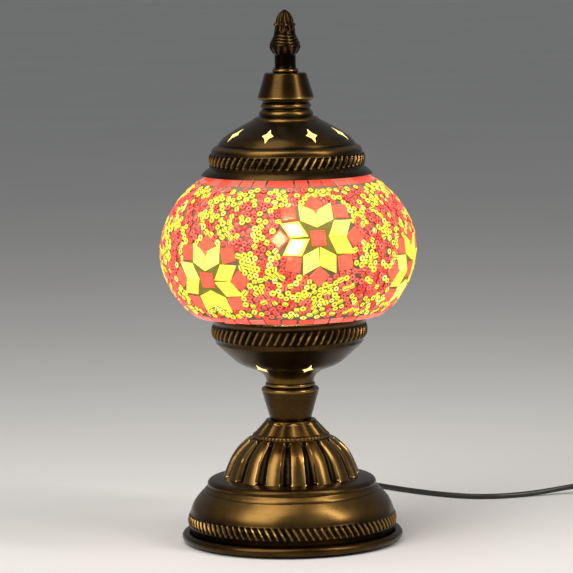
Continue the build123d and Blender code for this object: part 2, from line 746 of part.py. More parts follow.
def plug_pins():
    pins = []
    for side in (-1, 1):
        pin = Plane((PLUG_FACE, PLUG_Y + side * PIN_APART / 2, PLUG_Z), z_dir=(-1, 0, 0))
        rod = extrude(Circle(PIN_R), PIN_LONG)
        rod = fillet(rod.faces().sort_by(Axis.Z)[-1].edges(), 1.2)
        pins.append(pin * rod)
    return Compound(pins)


# ---------------------------------------------------------------- write every sub-part
PARTS = {
    "felt_pad": felt_pad,
    "base_plate": base_plate,
    "ballast_ring": ballast_ring,
    "base_bell": base_bell,
    "fluted_dome": fluted_dome,
    "dome_crown": dome_crown,
    "neck_cone": neck_cone,
    "neck_collar": neck_collar,
    "lower_bowl": lower_bowl,
    "globe_seat_ring": globe_seat_ring,
    "lamp_pipe": lamp_pipe,
    "pipe_nuts": pipe_nuts,
    "pipe_washers": pipe_washers,
    "harp_saddle": harp_saddle,
    "harp_wire": harp_wire,
    "harp_boss": harp_boss,
    "harp_stud": harp_stud,
    "socket_cap": socket_cap,
    "socket_core": socket_core,
    "socket_skirt": socket_skirt,
    "socket_screw_shell": socket_screw_shell,
    "socket_tongue": socket_tongue,
    "bulb_contact": bulb_contact,
    "bulb_cap": bulb_cap,
    "bulb_glass": bulb_glass,
    "bulb_stem": bulb_stem,
    "bulb_filaments": bulb_filaments,
    "glass_globe": glass_globe,
    "grout_layer": grout_layer,
    "star_tiles": star_tiles,
    "square_tiles": square_tiles,
    "border_tiles_upper": lambda: border_tiles(UPPER_BORDER, 7.0),
    "border_tiles_lower": lambda: border_tiles(LOWER_BORDER, 4.4),
    "upper_cap": upper_cap,
    "cap_seat_ring": cap_seat_ring,
    "cap_cone": cap_cone,
    "finial_washer": finial_washer,
    "finial": finial,
    "cord_relief": cord_relief,
    "lead_inside": lead_inside,
    "cord_lamp_run": lambda: cord_tube("lamp run", LAMP_RUN),
    "cord_switch_run": lambda: cord_tube("switch run", SWITCH_RUN),
    "cord_tail": lambda: cord_tube("tail", TAIL_RUN),
    "cord_coil": cord_coil,
    "coil_tie": coil_tie,
    "switch_lower_shell": switch_lower_shell,
    "switch_upper_shell": switch_upper_shell,
    "switch_screws": switch_screws,
    "switch_rocker": switch_rocker,
    "plug_body": plug_body,
    "plug_pins": plug_pins,
}

for name, make in PARTS.items():
    export_step(make(), f"parts/{name}.step")
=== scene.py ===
"""Looks of the mosaic glass table lamp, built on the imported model.

Lengths in the code are in millimetres and turned to metres by MM where they reach Blender.
Bearings are angles round the lamp in degrees: 0 is the front (-Y), and they grow towards +X.
"""

import math

import bpy
import numpy as np
from mathutils import Matrix, Vector


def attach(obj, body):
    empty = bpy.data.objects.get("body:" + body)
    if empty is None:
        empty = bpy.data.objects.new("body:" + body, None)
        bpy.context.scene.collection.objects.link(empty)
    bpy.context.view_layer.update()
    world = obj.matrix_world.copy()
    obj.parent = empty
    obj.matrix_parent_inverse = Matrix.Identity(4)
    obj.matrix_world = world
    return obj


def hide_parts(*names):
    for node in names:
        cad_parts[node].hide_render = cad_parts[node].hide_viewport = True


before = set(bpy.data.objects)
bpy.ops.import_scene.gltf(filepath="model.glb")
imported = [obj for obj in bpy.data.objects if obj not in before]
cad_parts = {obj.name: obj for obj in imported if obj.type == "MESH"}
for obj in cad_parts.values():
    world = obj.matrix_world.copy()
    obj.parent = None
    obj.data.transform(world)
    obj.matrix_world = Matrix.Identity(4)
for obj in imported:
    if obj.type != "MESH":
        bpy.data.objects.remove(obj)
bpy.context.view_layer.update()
MM = 0.001


def new_object(name, data):
    obj = bpy.data.objects.new(name, data)
    bpy.context.scene.collection.objects.link(obj)
    return obj


# ---- camera and lights
CAMERA_PLACE = (-0.0014, -2.1277, 0.39986)
LENS, PITCH, ROLL = 215.5, 6.43, -0.9  # focal length in millimetres, then degrees
LIGHTS_AIM = 0.15  # height that the lights are turned to, in metres


def set_camera():
    """The photograph's camera: far off, a little above the lamp, tipped down and rolled."""
    data = bpy.data.cameras.new("camera")
    data.lens, data.sensor_width, data.clip_end = LENS, 36.0, 100.0
    camera = new_object("camera", data)
    tip = Matrix.Rotation(math.radians(90 - PITCH), 4, "X")
    roll = Matrix.Rotation(math.radians(ROLL), 4, "Z")
    camera.matrix_world = Matrix.Translation(CAMERA_PLACE) @ tip @ roll
    bpy.context.scene.camera = camera


def area_light(name, bearing, distance, height, size, power, colour):
    """A rectangular light at a bearing, turned to the middle of the lamp."""
    data = bpy.data.lights.new(name, "AREA")
    data.shape, (data.size, data.size_y) = "RECTANGLE", size
    data.energy, data.color = power, colour
    light = new_object(name, data)
    angle = math.radians(bearing)
    spot = Vector((distance * math.sin(angle), -distance * math.cos(angle), height))
    light.location = spot
    light.rotation_euler = (Vector((0, 0, LIGHTS_AIM)) - spot).to_track_quat("-Z", "Y").to_euler()


set_camera()


# ---- materials
def node_tree(name):
    mat = bpy.data.materials.new(name)
    mat.use_nodes = True
    tree = mat.node_tree
    return mat, tree, tree.nodes["Principled BSDF"]


def settings(shader, **values):
    """Sets sockets; an underscore in a name stands for a space."""
    for name, value in values.items():
        shader.inputs[name.replace("_", " ")].default_value = value


def place(tree):
    """Object coordinates, in metres."""
    return tree.nodes.new("ShaderNodeTexCoord").outputs["Object"]


def noise(tree, scale, detail=4.0, rough=0.55, vector=None):
    node = tree.nodes.new("ShaderNodeTexNoise")
    settings(node, Scale=scale, Detail=detail, Roughness=rough)
    tree.links.new(vector or place(tree), node.inputs["Vector"])
    return node.outputs["Fac"]


def ramp(tree, value, stops):
    """A colour ramp; a stop is (position, colour), and a bare number is a grey."""
    node = tree.nodes.new("ShaderNodeValToRGB")
    band = node.color_ramp
    while len(band.elements) < len(stops):
        band.elements.new(0.5)
    for element, (position, colour) in zip(band.elements, stops):
        element.position = position
        element.color = (*colour, 1) if isinstance(colour, tuple) else (colour,) * 3 + (1,)
    tree.links.new(value, node.inputs["Fac"])
    return node.outputs["Color"]


def bump(tree, shader, height, strength, distance):
    node = tree.nodes.new("ShaderNodeBump")
    settings(node, Strength=strength, Distance=distance)
    tree.links.new(height, node.inputs["Height"])
    tree.links.new(node.outputs["Normal"], shader.inputs["Normal"])


def weighted(tree, offset, *terms):
    """offset plus each value times its weight."""
    total = None
    for value, weight in terms:
        node = tree.nodes.new("ShaderNodeMath")
        node.operation = "MULTIPLY_ADD"
        tree.links.new(value, node.inputs[0])
        node.inputs[1].default_value = weight
        if total is None:
            node.inputs[2].default_value = offset
        else:
            tree.links.new(total, node.inputs[2])
        total = node.outputs[0]
    return total


def round_vector(tree, turns, rise):
    """The direction from Z times turns, and the height times rise, for marks that run round a turned piece."""
    split = tree.nodes.new("ShaderNodeSeparateXYZ")
    tree.links.new(place(tree), split.inputs["Vector"])
    flat = tree.nodes.new("ShaderNodeCombineXYZ")
    for axis in "XY":
        tree.links.new(split.outputs[axis], flat.inputs[axis])
    length = tree.nodes.new("ShaderNodeVectorMath")
    length.operation = "NORMALIZE"
    tree.links.new(flat.outputs["Vector"], length.inputs[0])
    heading = tree.nodes.new("ShaderNodeSeparateXYZ")
    tree.links.new(length.outputs["Vector"], heading.inputs["Vector"])
    joined = tree.nodes.new("ShaderNodeCombineXYZ")
    for axis, source, scale in (("X", heading, turns), ("Y", heading, turns), ("Z", split, rise)):
        tree.links.new(weighted(tree, 0.0, (source.outputs[axis], scale)), joined.inputs[axis])
    return joined.outputs["Vector"]


def mottled(tree, shader, cloud, dark, colour, rough, rougher, full=0.7):
    """A tone and a roughness that follow one noise: the darker, the rougher."""
    tree.links.new(ramp(tree, cloud, [(0.3, dark), (full, colour)]), shader.inputs["Base Color"])
    tree.links.new(ramp(tree, cloud, [(0.3, rough + rougher), (0.7, rough)]), shader.inputs["Roughness"])


def antique_brass(name="antique_brass"):
    """Brass under a brown patina, near black in the hollows and rubbed bright where it stands high; in a few
    places the brightness is painted sheen and highlights.
    """
    mat, tree, shader = node_tree(name)
    cloud = noise(tree, 46, 5, 0.62)
    brushed = noise(tree, 2.0, 3, 0.65, round_vector(tree, 3.0, 700))
    relief_rub_sheen = tree.nodes.new("ShaderNodeAttribute")
    relief_rub_sheen.attribute_name = "relief_rub_sheen"
    tone_rub_sheen = weighted(tree, -0.26, (relief_rub_sheen.outputs["Fac"], 0.92), (cloud, 0.42), (brushed, 0.14))
    tones = [(0.02, (0.007, 0.0045, 0.002)), (0.25, (0.050, 0.027, 0.008)), (0.55, (0.170, 0.094, 0.025)),
             (1.0, (0.45, 0.280, 0.088))]
    settings(shader, Metallic=1.0)
    tree.links.new(ramp(tree, tone_rub_sheen, tones), shader.inputs["Base Color"])
    tree.links.new(ramp(tree, cloud, [(0.25, 0.24), (0.75, 0.36)]), shader.inputs["Roughness"])
    grain = weighted(tree, 0.0, (brushed, 0.5), (noise(tree, 420, 3, 0.6), 0.5))
    bump(tree, shader, grain, 0.08, 0.0003)
    return mat


def plain_metal(name, colour, dark, rough):
    mat, tree, shader = node_tree(name)
    cloud = noise(tree, 60)
    settings(shader, Metallic=1.0)
    mottled(tree, shader, cloud, dark, colour, rough, 0.1)
    bump(tree, shader, noise(tree, 500, 3), 0.1, 0.0003)
    return mat


def plain_solid(name, colour, dark, rough, scale=80.0, grain=700.0, relief=0.15, coat=0.0):
    """Plastic, rubber, felt and the like."""
    mat, tree, shader = node_tree(name)
    cloud = noise(tree, scale)
    mottled(tree, shader, cloud, dark, colour, rough, 0.08)
    settings(shader, Coat_Weight=coat)
    bump(tree, shader, noise(tree, grain, 3), relief, 0.0004)
    return mat


def lit_glass(name, colour, dark, glow, strength, through=0.0, rough=0.16, cell=420, relief=0.35):
    """Stained glass lit from behind: rippled, glossy, and glowing evenly with a plain emission, a painted glow
    that stands in for the bulb's light coming through the glass.

    through is the part of the light that passes, hardly bent, so that the bulb shows behind a tile.
    """
    mat, tree, shader = node_tree(name)
    shade = noise(tree, 190, 3)
    mottled(tree, shader, shade, dark, colour, rough, 0.14, full=0.65)
    settings(shader, Emission_Color=(*glow, 1), Emission_Strength=strength, Transmission_Weight=through,
             IOR=1.04 if through else 1.5, Coat_Weight=0.25, Coat_Roughness=0.08)
    ripple = tree.nodes.new("ShaderNodeTexVoronoi")
    settings(ripple, Scale=cell)
    tree.links.new(place(tree), ripple.inputs["Vector"])
    bump(tree, shader, ripple.outputs["Distance"], relief, 0.0005)
    mat.cycles.emission_sampling = "NONE"
    return mat


BRASS = antique_brass()
STEEL = plain_metal("zinc_steel", (0.55, 0.55, 0.53), (0.32, 0.32, 0.31), 0.38)
IRON = plain_solid("cast_iron", (0.07, 0.07, 0.075), (0.035, 0.035, 0.037), 0.7)
FELT = plain_solid("felt", (0.028, 0.03, 0.028), (0.012, 0.013, 0.012), 0.95, 300, 1800, 0.6)
SEAL = plain_solid("clear_seal", (0.55, 0.53, 0.48), (0.42, 0.40, 0.36), 0.4)
PHENOLIC = plain_solid("black_phenolic", (0.02, 0.018, 0.016), (0.01, 0.009, 0.008), 0.35, coat=0.3)
PORCELAIN = plain_solid("porcelain", (0.75, 0.73, 0.68), (0.62, 0.60, 0.55), 0.3, coat=0.4)
PLAIN_BRASS = plain_metal("brass", (0.70, 0.48, 0.18), (0.48, 0.32, 0.11), 0.3)
SOLDER = plain_metal("solder", (0.62, 0.62, 0.60), (0.42, 0.42, 0.41), 0.35)
NICKEL = plain_metal("nickel_cap", (0.66, 0.63, 0.58), (0.46, 0.44, 0.40), 0.25)
RUBBER = plain_solid("black_rubber", (0.016, 0.016, 0.016), (0.008, 0.008, 0.008), 0.55)
LEAD = plain_solid("black_cord", (0.014, 0.014, 0.015), (0.007, 0.007, 0.008), 0.38, 150, 900, 0.2, 0.15)
STRAP = plain_solid("tie_strap", (0.03, 0.03, 0.032), (0.015, 0.015, 0.016), 0.6, 200, 1500, 0.4)
PLASTIC = plain_solid("black_plastic", (0.018, 0.018, 0.019), (0.010, 0.010, 0.010), 0.36, 120, 1600, 0.25)
ROCKER = plain_solid("rocker_plastic", (0.03, 0.03, 0.032), (0.018, 0.018, 0.019), 0.28, 120, 1600, 0.15)

SHADE_ODDS = (0.5, 0.32, 0.18)  # how often a bead takes each shade of its glass


def shades(name, colour, dark, glows, strength, through=0.0):
    """One glass in a few shades."""
    return [lit_glass(f"{name}_{i}", colour, dark, glow, strength, through) for i, glow in enumerate(glows)]


# the tiles' and beads' glow is painted: a plain emission that stands in for the bulb's light through the glass
YELLOW_GLOWS = ((0.98, 0.84, 0.048), (0.90, 0.76, 0.035), (1.0, 0.93, 0.19))
CORAL_TILE_GLOWS = ((1.0, 0.070, 0.045), (1.0, 0.12, 0.075))
CORAL_BEAD_GLOWS = ((1.0, 0.105, 0.070), (1.0, 0.19, 0.130), (0.82, 0.040, 0.028))
YELLOW_TILES = shades("yellow_glass", (0.85, 0.80, 0.17), (0.75, 0.68, 0.11), YELLOW_GLOWS, 0.80, 0.34)
CORAL_TILES = shades("coral_glass", (0.80, 0.16, 0.09), (0.70, 0.10, 0.06), CORAL_TILE_GLOWS, 0.78, 0.14)
YELLOW_BEADS = shades("yellow_glass", (0.34, 0.29, 0.04), (0.27, 0.21, 0.02), YELLOW_GLOWS, 0.95)
CORAL_BEADS = shades("coral_glass", (0.30, 0.045, 0.024), (0.22, 0.03, 0.016), CORAL_BEAD_GLOWS, 0.92)
# painted shade: darker glows for each bead's bore and sides
BEAD_SHADE_OLIVE = lit_glass("bead_shade_olive", (0.10, 0.08, 0.01), (0.06, 0.05, 0.01), (0.30, 0.24, 0.01), 0.6)
BEAD_SHADE_RED = lit_glass("bead_shade_red", (0.10, 0.01, 0.01), (0.06, 0.01, 0.01), (0.50, 0.012, 0.008), 0.7)
GROUT_GREY = plain_solid("grout", (0.26, 0.20, 0.13), (0.17, 0.13, 0.08), 0.85, 220, 900, 0.5)
# painted glow: grout round the stars glows by emission, standing in for light from the lit glass beside it
GROUT_PAINTED_GLOW = lit_glass("grout_painted_glow", (0.16, 0.13, 0.02), (0.10, 0.08, 0.01), (0.16, 0.13, 0.005), 0.7, rough=0.7)


def clear_glass(name, colour, rough):
    mat, tree, shader = node_tree(name)
    smear = noise(tree, 60, 3)
    mottled(tree, shader, smear, tuple(0.96 * c for c in colour), colour, rough, 0.05)
    settings(shader, Transmission_Weight=1.0, IOR=1.5)
    bump(tree, shader, smear, 0.05, 0.0005)
    return mat


CLEAR_GLASS = clear_glass("clear_glass", (0.97, 0.95, 0.90), 0.10)
WHITE_HOT = lit_glass("white_hot", (0.9, 0.85, 0.6), (0.8, 0.75, 0.5), (1.0, 0.92, 0.60), 21.0)
# painted glow: brass that glows by its own emission inside the bowl and the cap, standing in for the bulb's
# light seen through the star holes
PAINTED_GLOW_BRASS = lit_glass("painted_glow_brass", (0.35, 0.24, 0.08), (0.22, 0.14, 0.04), (1.0, 0.87, 0.27), 1.5,
                      rough=0.4, cell=300, relief=0.2)


# ---- pieces
def add_mesh(name, verts, faces, materials, body="lamp", replaces=(), slot=None, smooth=40,
             face_slots=None, values=None):
    """A piece from vertices in millimetres, riding on a body and standing for CAD nodes."""
    mesh = bpy.data.meshes.new(name)
    mesh.from_pydata((np.asarray(verts) * MM).tolist(), [], faces)
    for mat in materials if isinstance(materials, (list, tuple)) else [materials]:
        mesh.materials.append(mat)
    if face_slots is not None:
        mesh.polygons.foreach_set("material_index", np.asarray(face_slots, dtype=np.int32))
    for key, column in (values or {}).items():
        layer = mesh.attributes.new(key, "FLOAT", "POINT")
        layer.data.foreach_set("value", np.asarray(column, dtype=np.float32))
    if smooth:
        mesh.shade_smooth()
        mesh.set_sharp_from_angle(angle=math.radians(smooth))
    mesh.update()
    obj = new_object(name, mesh)
    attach(obj, body)
    if replaces:
        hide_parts(*replaces)
    return obj


def smooth_run(points, step):
    """Points every step or so along a natural cubic through the given ones."""
    p = np.array(points, dtype=float)
    t = np.concatenate([[0], np.cumsum(np.hypot(*np.diff(p, axis=0).T))])
    n = len(p)
    if n == 2:
        count = max(2, int(round(t[-1] / step)) + 1)
        return [tuple(p[0] + (p[1] - p[0]) * k) for k in np.linspace(0, 1, count)]
    h = np.diff(t)
    rows = np.zeros((n, n))
    right = np.zeros((n, 2))
    rows[0, 0] = rows[-1, -1] = 1
    for i in range(1, n - 1):
        rows[i, i - 1 : i + 2] = h[i - 1], 2 * (h[i - 1] + h[i]), h[i]
        right[i] = 6 * ((p[i + 1] - p[i]) / h[i] - (p[i] - p[i - 1]) / h[i - 1])
    m = np.linalg.solve(rows, right)
    out = []
    for s in np.linspace(0, t[-1], max(n, int(round(t[-1] / step)) + 1)):
        i = min(np.searchsorted(t, s, side="right") - 1, n - 2)
        a, b = t[i + 1] - s, s - t[i]
        point = (m[i] * a**3 + m[i + 1] * b**3) / (6 * h[i])
        point += (p[i] / h[i] - m[i] * h[i] / 6) * a + (p[i + 1] / h[i] - m[i + 1] * h[i] / 6) * b
        out.append(tuple(point))
    return out


def outline(start, *path, step=0.6):
    """An outline of (radius, height): a tuple ends a straight run, a list is a smooth one."""
    points = [start]
    for part in path:
        stops = part if isinstance(part, list) else [part]
        points += smooth_run([points[-1], *stops], step)[1:]
    return np.array(points)


def outline_normals(points):
    """Unit normals to the right of the way the outline runs: outwards for one that climbs."""
    ahead = np.vstack([points[1:], points[-1:]])
    behind = np.vstack([points[:1], points[:-1]])
    along = ahead - behind
    along /= np.maximum(np.hypot(*along.T), 1e-9)[:, None]
    return np.column_stack([along[:, 1], -along[:, 0]])


def round_axis(r, bearings, z):
    """Points round Z, as rows."""
    return np.column_stack([(r * np.sin(bearings)).ravel(), (-r * np.cos(bearings)).ravel(), z.ravel()])


def ring_quads(a, b):
    """Faces between the vertex rings a and the rings b above them."""
    return np.stack([a, np.roll(a, -1, axis=1), np.roll(b, -1, axis=1), b], axis=-1).reshape(-1, 4)


def turned(name, outside, inside=(), relief=None, segments=192, material=BRASS, lining=None, **extra):
    """A piece turned about Z from its outside, foot first, and its inside, top first.

    relief gives the height of the pattern on the outside, in millimetres, from radius, height and bearing,
    and how bright each place is: rubbed where it stands high, and in a few places painted sheen and highlights.
    """
    outside = np.asarray(outside, dtype=float)
    loop = np.vstack([outside, np.asarray(inside, dtype=float).reshape(-1, 2)])
    bearings = np.arange(segments) * 2 * math.pi / segments
    r, z = (np.repeat(column[:, None], segments, axis=1) for column in loop.T)
    relief_rub_sheen = np.full(r.shape, 0.25)
    if relief:
        k = len(outside)
        normals = outline_normals(outside)
        lift, rub_and_sheen = relief(r[:k], z[:k], bearings[None, :] + 0 * r[:k])
        r[:k] += lift * normals[:, 0:1]
        z[:k] += lift * normals[:, 1:2]
        relief_rub_sheen[:k] = rub_and_sheen
    n = len(loop)
    index = np.arange(n * segments).reshape(n, segments)
    quads = ring_quads(index, np.roll(index, -1, axis=0))
    # the second finish is a painted glow, standing in for the bulb's light on the inside
    if lining:  # the inside's faces take a second finish between two heights
        finish, low, high = lining
        material = [material, finish]
        glowing_faces = (np.arange(n) >= len(outside)) & (loop[:, 1] > low) & (loop[:, 1] < high)
        extra["face_slots"] = np.repeat(glowing_faces, segments)
    return add_mesh(name, round_axis(r, bearings, z), quads.tolist(), material,
                    values={"relief_rub_sheen": relief_rub_sheen.ravel()}, **extra)


def spun(name, node, outside, inside, relief, segments, **extra):
    """A turned piece of antique brass that stands for one CAD node."""
    return turned(name, outside, inside, relief, segments, replaces=[node], slot="antique_brass", **extra)


def inner_wall(outside, wall, foot_z=None, top_z=None):
    """The inside of a sheet of even thickness, top first."""
    inside = outside - wall * outline_normals(outside)
    if foot_z is not None:
        inside[0, 1] = foot_z
    if top_z is not None:
        inside[-1, 1] = top_z
    return inside[::-1]


def ease(x):
    x = np.clip(x, 0, 1)
    return x * x * (3 - 2 * x)


def between(z, low, rise, high, fall):
    """0 up to low, 1 after the rise, and back to 0 at high."""
    return ease((z - low) / rise) * ease((high - z) / fall)


def in_band(z, band):
    return (z > band[0]) & (z < band[1])


def rings_at(z, width, *heights):
    """1 at each of the heights, fading over the width."""
    return sum(np.exp(-(((z - middle) / width) ** 2)) for middle in heights)


def rope(z, bearing, band, count, lean, depth):
    """Thin slanting ridges in a band: how far below the band's surface, and how rubbed."""
    t = (z - band[0]) / (band[1] - band[0])
    phase = count * bearing / (2 * math.pi) - lean * t
    off = phase - np.round(phase)
    ridge = np.exp(-((off / 0.15) ** 2))
    edge = ease(np.minimum(t, 1 - t) / 0.18)
    return np.where(in_band(z, band), -depth * edge * (1 - ridge), 0), ridge * (0.3 + 0.7 * edge)


# ---- mains lead
LAMP_RUN = [
    (0, 76, 13.2), (0, 88, 13.2), (0.5, 106, 12), (2, 127, 4.6), (6, 151, 1.75), (18, 187, 1.75),
    (46, 199, 1.75), (76, 165, 1.75), (106, 140, 1.75), (131, 131.5, 1.75), (160, 141, 1.75),
    (184, 149.3, 4.2), (205, 150, 7),
]
SWITCH_RUN = [(267, 150, 7), (279, 149.6, 6.2), (290, 149.8, 3.4), (301, 151, 2.7)]
TAIL_RUN = [(299, 100.6, 12.7), (287, 101.5, 9), (275, 102, 6.85), (268, 102, 6.85)]
COIL_MIDDLE = (312, 126)
COIL_ROWS, ROW_TURNS, CLIMB = 4, 2.2625, 0.15
COIL_IN_R, COIL_OUT_R = 17.27, 25.53
ROW_LOW, ROW_RISE = 2.7, 3.55


def coil_points():
    """The coil's turns: rows that wind inwards and outwards in turn, with a short climb between them."""
    points = []
    x, y = COIL_MIDDLE
    turns = COIL_ROWS * ROW_TURNS + (COIL_ROWS - 1) * CLIMB
    per_turn = 16
    hull = 1 / math.cos(math.pi / per_turn)  # the curve runs inside its control points
    for k in range(int(turns * per_turn) + 1):
        t = k / per_turn
        row, within = divmod(t, ROW_TURNS + CLIMB)
        part = min(within / ROW_TURNS, 1)
        climb = max(0, within - ROW_TURNS) / CLIMB
        inwards = row % 2 == 0
        r = COIL_OUT_R + (COIL_IN_R - COIL_OUT_R) * (part if inwards else 1 - part)
        z = ROW_LOW + ROW_RISE * (row + climb)
        angle = math.radians(90) - 2 * math.pi * t
        points.append((x + r * hull * math.cos(angle), y + r * hull * math.sin(angle), z))
    return points


def nurbs(name, points, radius, material):
    """A cord along a NURBS curve."""
    data = bpy.data.curves.new(name, "CURVE")
    data.dimensions = "3D"
    data.bevel_depth, data.bevel_resolution, data.resolution_u, data.use_fill_caps = radius * MM, 5, 6, True
    line = data.splines.new("NURBS")
    line.points.add(len(points) - 1)
    for spot, point in zip(line.points, points):
        spot.co = (*(Vector(point) * MM), 1)
    line.order_u = 3
    line.use_endpoint_u = True
    data.materials.append(material)
    return new_object(name, data)


lead = nurbs("mains_lead", [*LAMP_RUN, *SWITCH_RUN, *coil_points(), *TAIL_RUN], 1.75, LEAD)
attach(lead, "lamp")
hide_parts("cord_lamp_run", "cord_switch_run", "cord_coil", "cord_tail")
FINISHED_NODES = (
    (STEEL, "lamp_pipe pipe_nuts pipe_washers harp_saddle harp_wire harp_boss harp_stud switch_screws"),
    (FELT, "felt_pad"), (IRON, "ballast_ring"), (SEAL, "globe_seat_ring cap_seat_ring"),
    (PHENOLIC, "socket_cap socket_skirt"), (PORCELAIN, "socket_core"), (SOLDER, "bulb_contact"),
    (PLAIN_BRASS, "socket_screw_shell socket_tongue"), (NICKEL, "bulb_cap plug_pins"), (LEAD, "lead_inside"),
    (PLASTIC, "switch_lower_shell switch_upper_shell plug_body"), (ROCKER, "switch_rocker"),
    (RUBBER, "cord_relief"), (STRAP, "coil_tie"),
)
for finish, nodes in FINISHED_NODES:
    for node in nodes.split():
        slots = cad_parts[node].data.materials
        for i in range(len(slots)):
            slots[i] = finish
        if not len(slots):
            slots.append(finish)


# ---- foot
WALL = 1.2  # thickness of the spun brass
PIPE_HOLE = 6.0  # radius of the hole for the lamp pipe
PLATE_TOP, BELL_TOP, DOME_TOP = 2.6, 40.9, 65.3
CROWN_TOP, NECK_TOP, COLLAR_TOP = 76.6, 97.4, 100.4
FOOT_ROPE = (10.6, 18.6)
FLUTES = 16
FIRST_GROOVE = math.radians(-5.25)


def bell_relief(r, z, bearing):
    """A rope bead, and two creases at the shoulder."""
    lift, rub_and_sheen = rope(z, bearing, FOOT_ROPE, 92, -1.0, 1.1)
    crease = rings_at(z, 0.35, 32.6, 36.2)
    # painted sheen: the bell's side between 18 and 38 mm is made brighter; the creases are darker with patina
    shine = 0.26 + 0.22 * between(z, 18, 6, 38, 5) - 0.22 * crease
    return lift - 0.35 * crease, np.where(in_band(z, FOOT_ROPE), rub_and_sheen, shine)


foot_plain = outline((62.6, PLATE_TOP), (64.2, 9.4), step=1.5)
foot_bead = outline((64.2, 9.4), [(65.3, 11.6), (65.6, 14.2), (65.0, 16.9), (63.9, 18.8)], step=0.45)[1:]
foot_side = outline(
    (63.9, 18.8),
    [(62.9, 22.2), (60.8, 26.3), (57.9, 29.9), (54.5, 33.6), (53.0, 35.4)],
    [(52.9, 37.2), (51.4, 39.2), (48.6, 40.1)],
    (44.0, BELL_TOP),
    step=0.55,
)[1:]
foot_outside = np.vstack([foot_plain, foot_bead, foot_side, [[40.0, BELL_TOP], [PIPE_HOLE, BELL_TOP]]])
spun("foot_bell", "base_bell", foot_outside, inner_wall(foot_outside, WALL, foot_z=PLATE_TOP)[::5],
     bell_relief, 920)


def plate_outline():
    """A flat plate with a rolled rim: up round the rim's outside, then in across the top."""
    rim = [(66.5 + 2.8 * math.cos(a), 4.0 + 2.8 * math.sin(a)) for a in np.linspace(-1.5, 3.6, 22)]
    return [(20, 1.2), *rim, (62.4, PLATE_TOP), (20, PLATE_TOP)]


spun("foot_plate", "base_plate", plate_outline(), (), None, 220)


def off_groove(bearing):
    """0 in a groove's middle and 0.5 on a rib's."""
    phase = (bearing - FIRST_GROOVE) * FLUTES / (2 * math.pi)
    return np.abs(phase - np.round(phase))


def dome_relief(r, z, bearing):
    """Sixteen broad ribs with round grooves between them and a scalloped top edge."""
    off = off_groove(bearing)
    t = np.clip((z - 41.2) / 23.0, 0, 1)
    half = 0.235 - 0.03 * t
    deep = 3.0 * ease((z - 41.0) / 1.6) * (1 - 0.45 * t) * ease((65.4 - z) / 1.2)
    groove = np.sqrt(np.clip(1 - (off / half) ** 2, 0, 1))
    crown = 0.5 * np.cos(np.clip((0.5 - off) / (0.5 - half), 0, 1) * math.pi / 2) * ease((65.4 - z) / 1.2)
    # edge is a thin bright line along each rib's edge: partly rubbing of the edge, partly a painted highlight
    edge = np.exp(-(((off - half) / 0.045) ** 2))
    lift = crown - deep * groove
    rub_and_sheen = np.clip(0.56 * (1 - groove) + 0.4 * edge, 0, 1)
    return lift, rub_and_sheen


dome_side = [(41.3, 44.4), (39.3, 49.2), (36.8, 54.3), (33.0, 59.3), (28.0, 63.8)]
dome_outside = outline((42.5, BELL_TOP), dome_side, (26.0, DOME_TOP), step=0.6)
dome_outside = np.vstack([dome_outside, [[24.0, DOME_TOP], [PIPE_HOLE, DOME_TOP]]])
dome_inside = [(PIPE_HOLE, 62.5), (22.5, 62.5), (33.5, 50.0), (37.5, 41.4)]
spun("foot_dome", "fluted_dome", dome_outside, dome_inside, dome_relief, 640)


def crown_relief(r, z, bearing):
    """Sixteen shallow hollow facets that run up the cone, over a row of beads at its foot."""
    hollow = np.cos(np.clip(off_groove(bearing) / 0.5, 0, 1) * math.pi / 2) ** 0.8
    inside = between(z, 67.8, 0.8, 76.0, 0.8)
    beads = np.abs(np.sin(bearing * 28)) * between(z, 65.4, 0.5, 67.8, 0.5)
    rub_and_sheen = np.clip(0.35 + 0.65 * inside * (1 - hollow) + 0.3 * beads, 0, 1)
    return 0.45 * beads - 0.95 * inside * hollow, rub_and_sheen


crown_outside = outline((23.9, DOME_TOP), (23.6, 67.6), (15.4, CROWN_TOP), step=0.5)
crown_outside = np.vstack([crown_outside, [[PIPE_HOLE, CROWN_TOP]]])
crown_inside = [(PIPE_HOLE, 75.0), (13.4, 75.0), (21.8, 66.4), (22.0, 65.4)]
spun("foot_crown", "dome_crown", crown_outside, crown_inside, crown_relief, 560)


def lip_shine(low, high):
    """Relief that changes no shape, with the metal brighter between two heights."""
    return lambda r, z, bearing: (0 * r, 0.25 + 0.55 * between(z, low, 0.8, high, 0.8))


cone_rim = [(18.0, 95.8), (17.5, 96.7), (16.4, NECK_TOP)]
cone_outside = outline((12.7, CROWN_TOP), (17.9, 94.8), cone_rim, step=0.6)
cone_inside = [(PIPE_HOLE, 95.4), (14.0, 95.4), (16.0, 93.8), (11.6, 78.6), (PIPE_HOLE, 78.6),
               (PIPE_HOLE, CROWN_TOP)]
spun("neck_cone_skin", "neck_cone", np.vstack([cone_outside, [[PIPE_HOLE, NECK_TOP]]]), cone_inside,
     lip_shine(94.6, 97.6), 200)
collar_outside = outline((14.5, NECK_TOP), [(15.5, 98.2), (15.5, 99.4), (14.7, COLLAR_TOP)], step=0.3)
spun("neck_collar_skin", "neck_collar", np.vstack([collar_outside, [[PIPE_HOLE, COLLAR_TOP]]]),
     [(PIPE_HOLE, NECK_TOP)], lip_shine(97.6, 100.2), 200)


# ---- bowl and cap, with their light holes and a painted glow inside them
BOWL_ROPE, CAP_ROPE = (128.2, 137.4), (235.8, 244.0)
BOWL_LIP, CAP_LIP, CAP_TOP, CONE_TOP = 141.3, 230.6, 276.8, 293.5
STUD_HOLE = 4.0  # radius of the hole for the harp's stud
STAR_WAIST = 0.50  # a star's waist as a part of its reach
STAR_WIDE, STAR_TALL = 0.74, 1.35


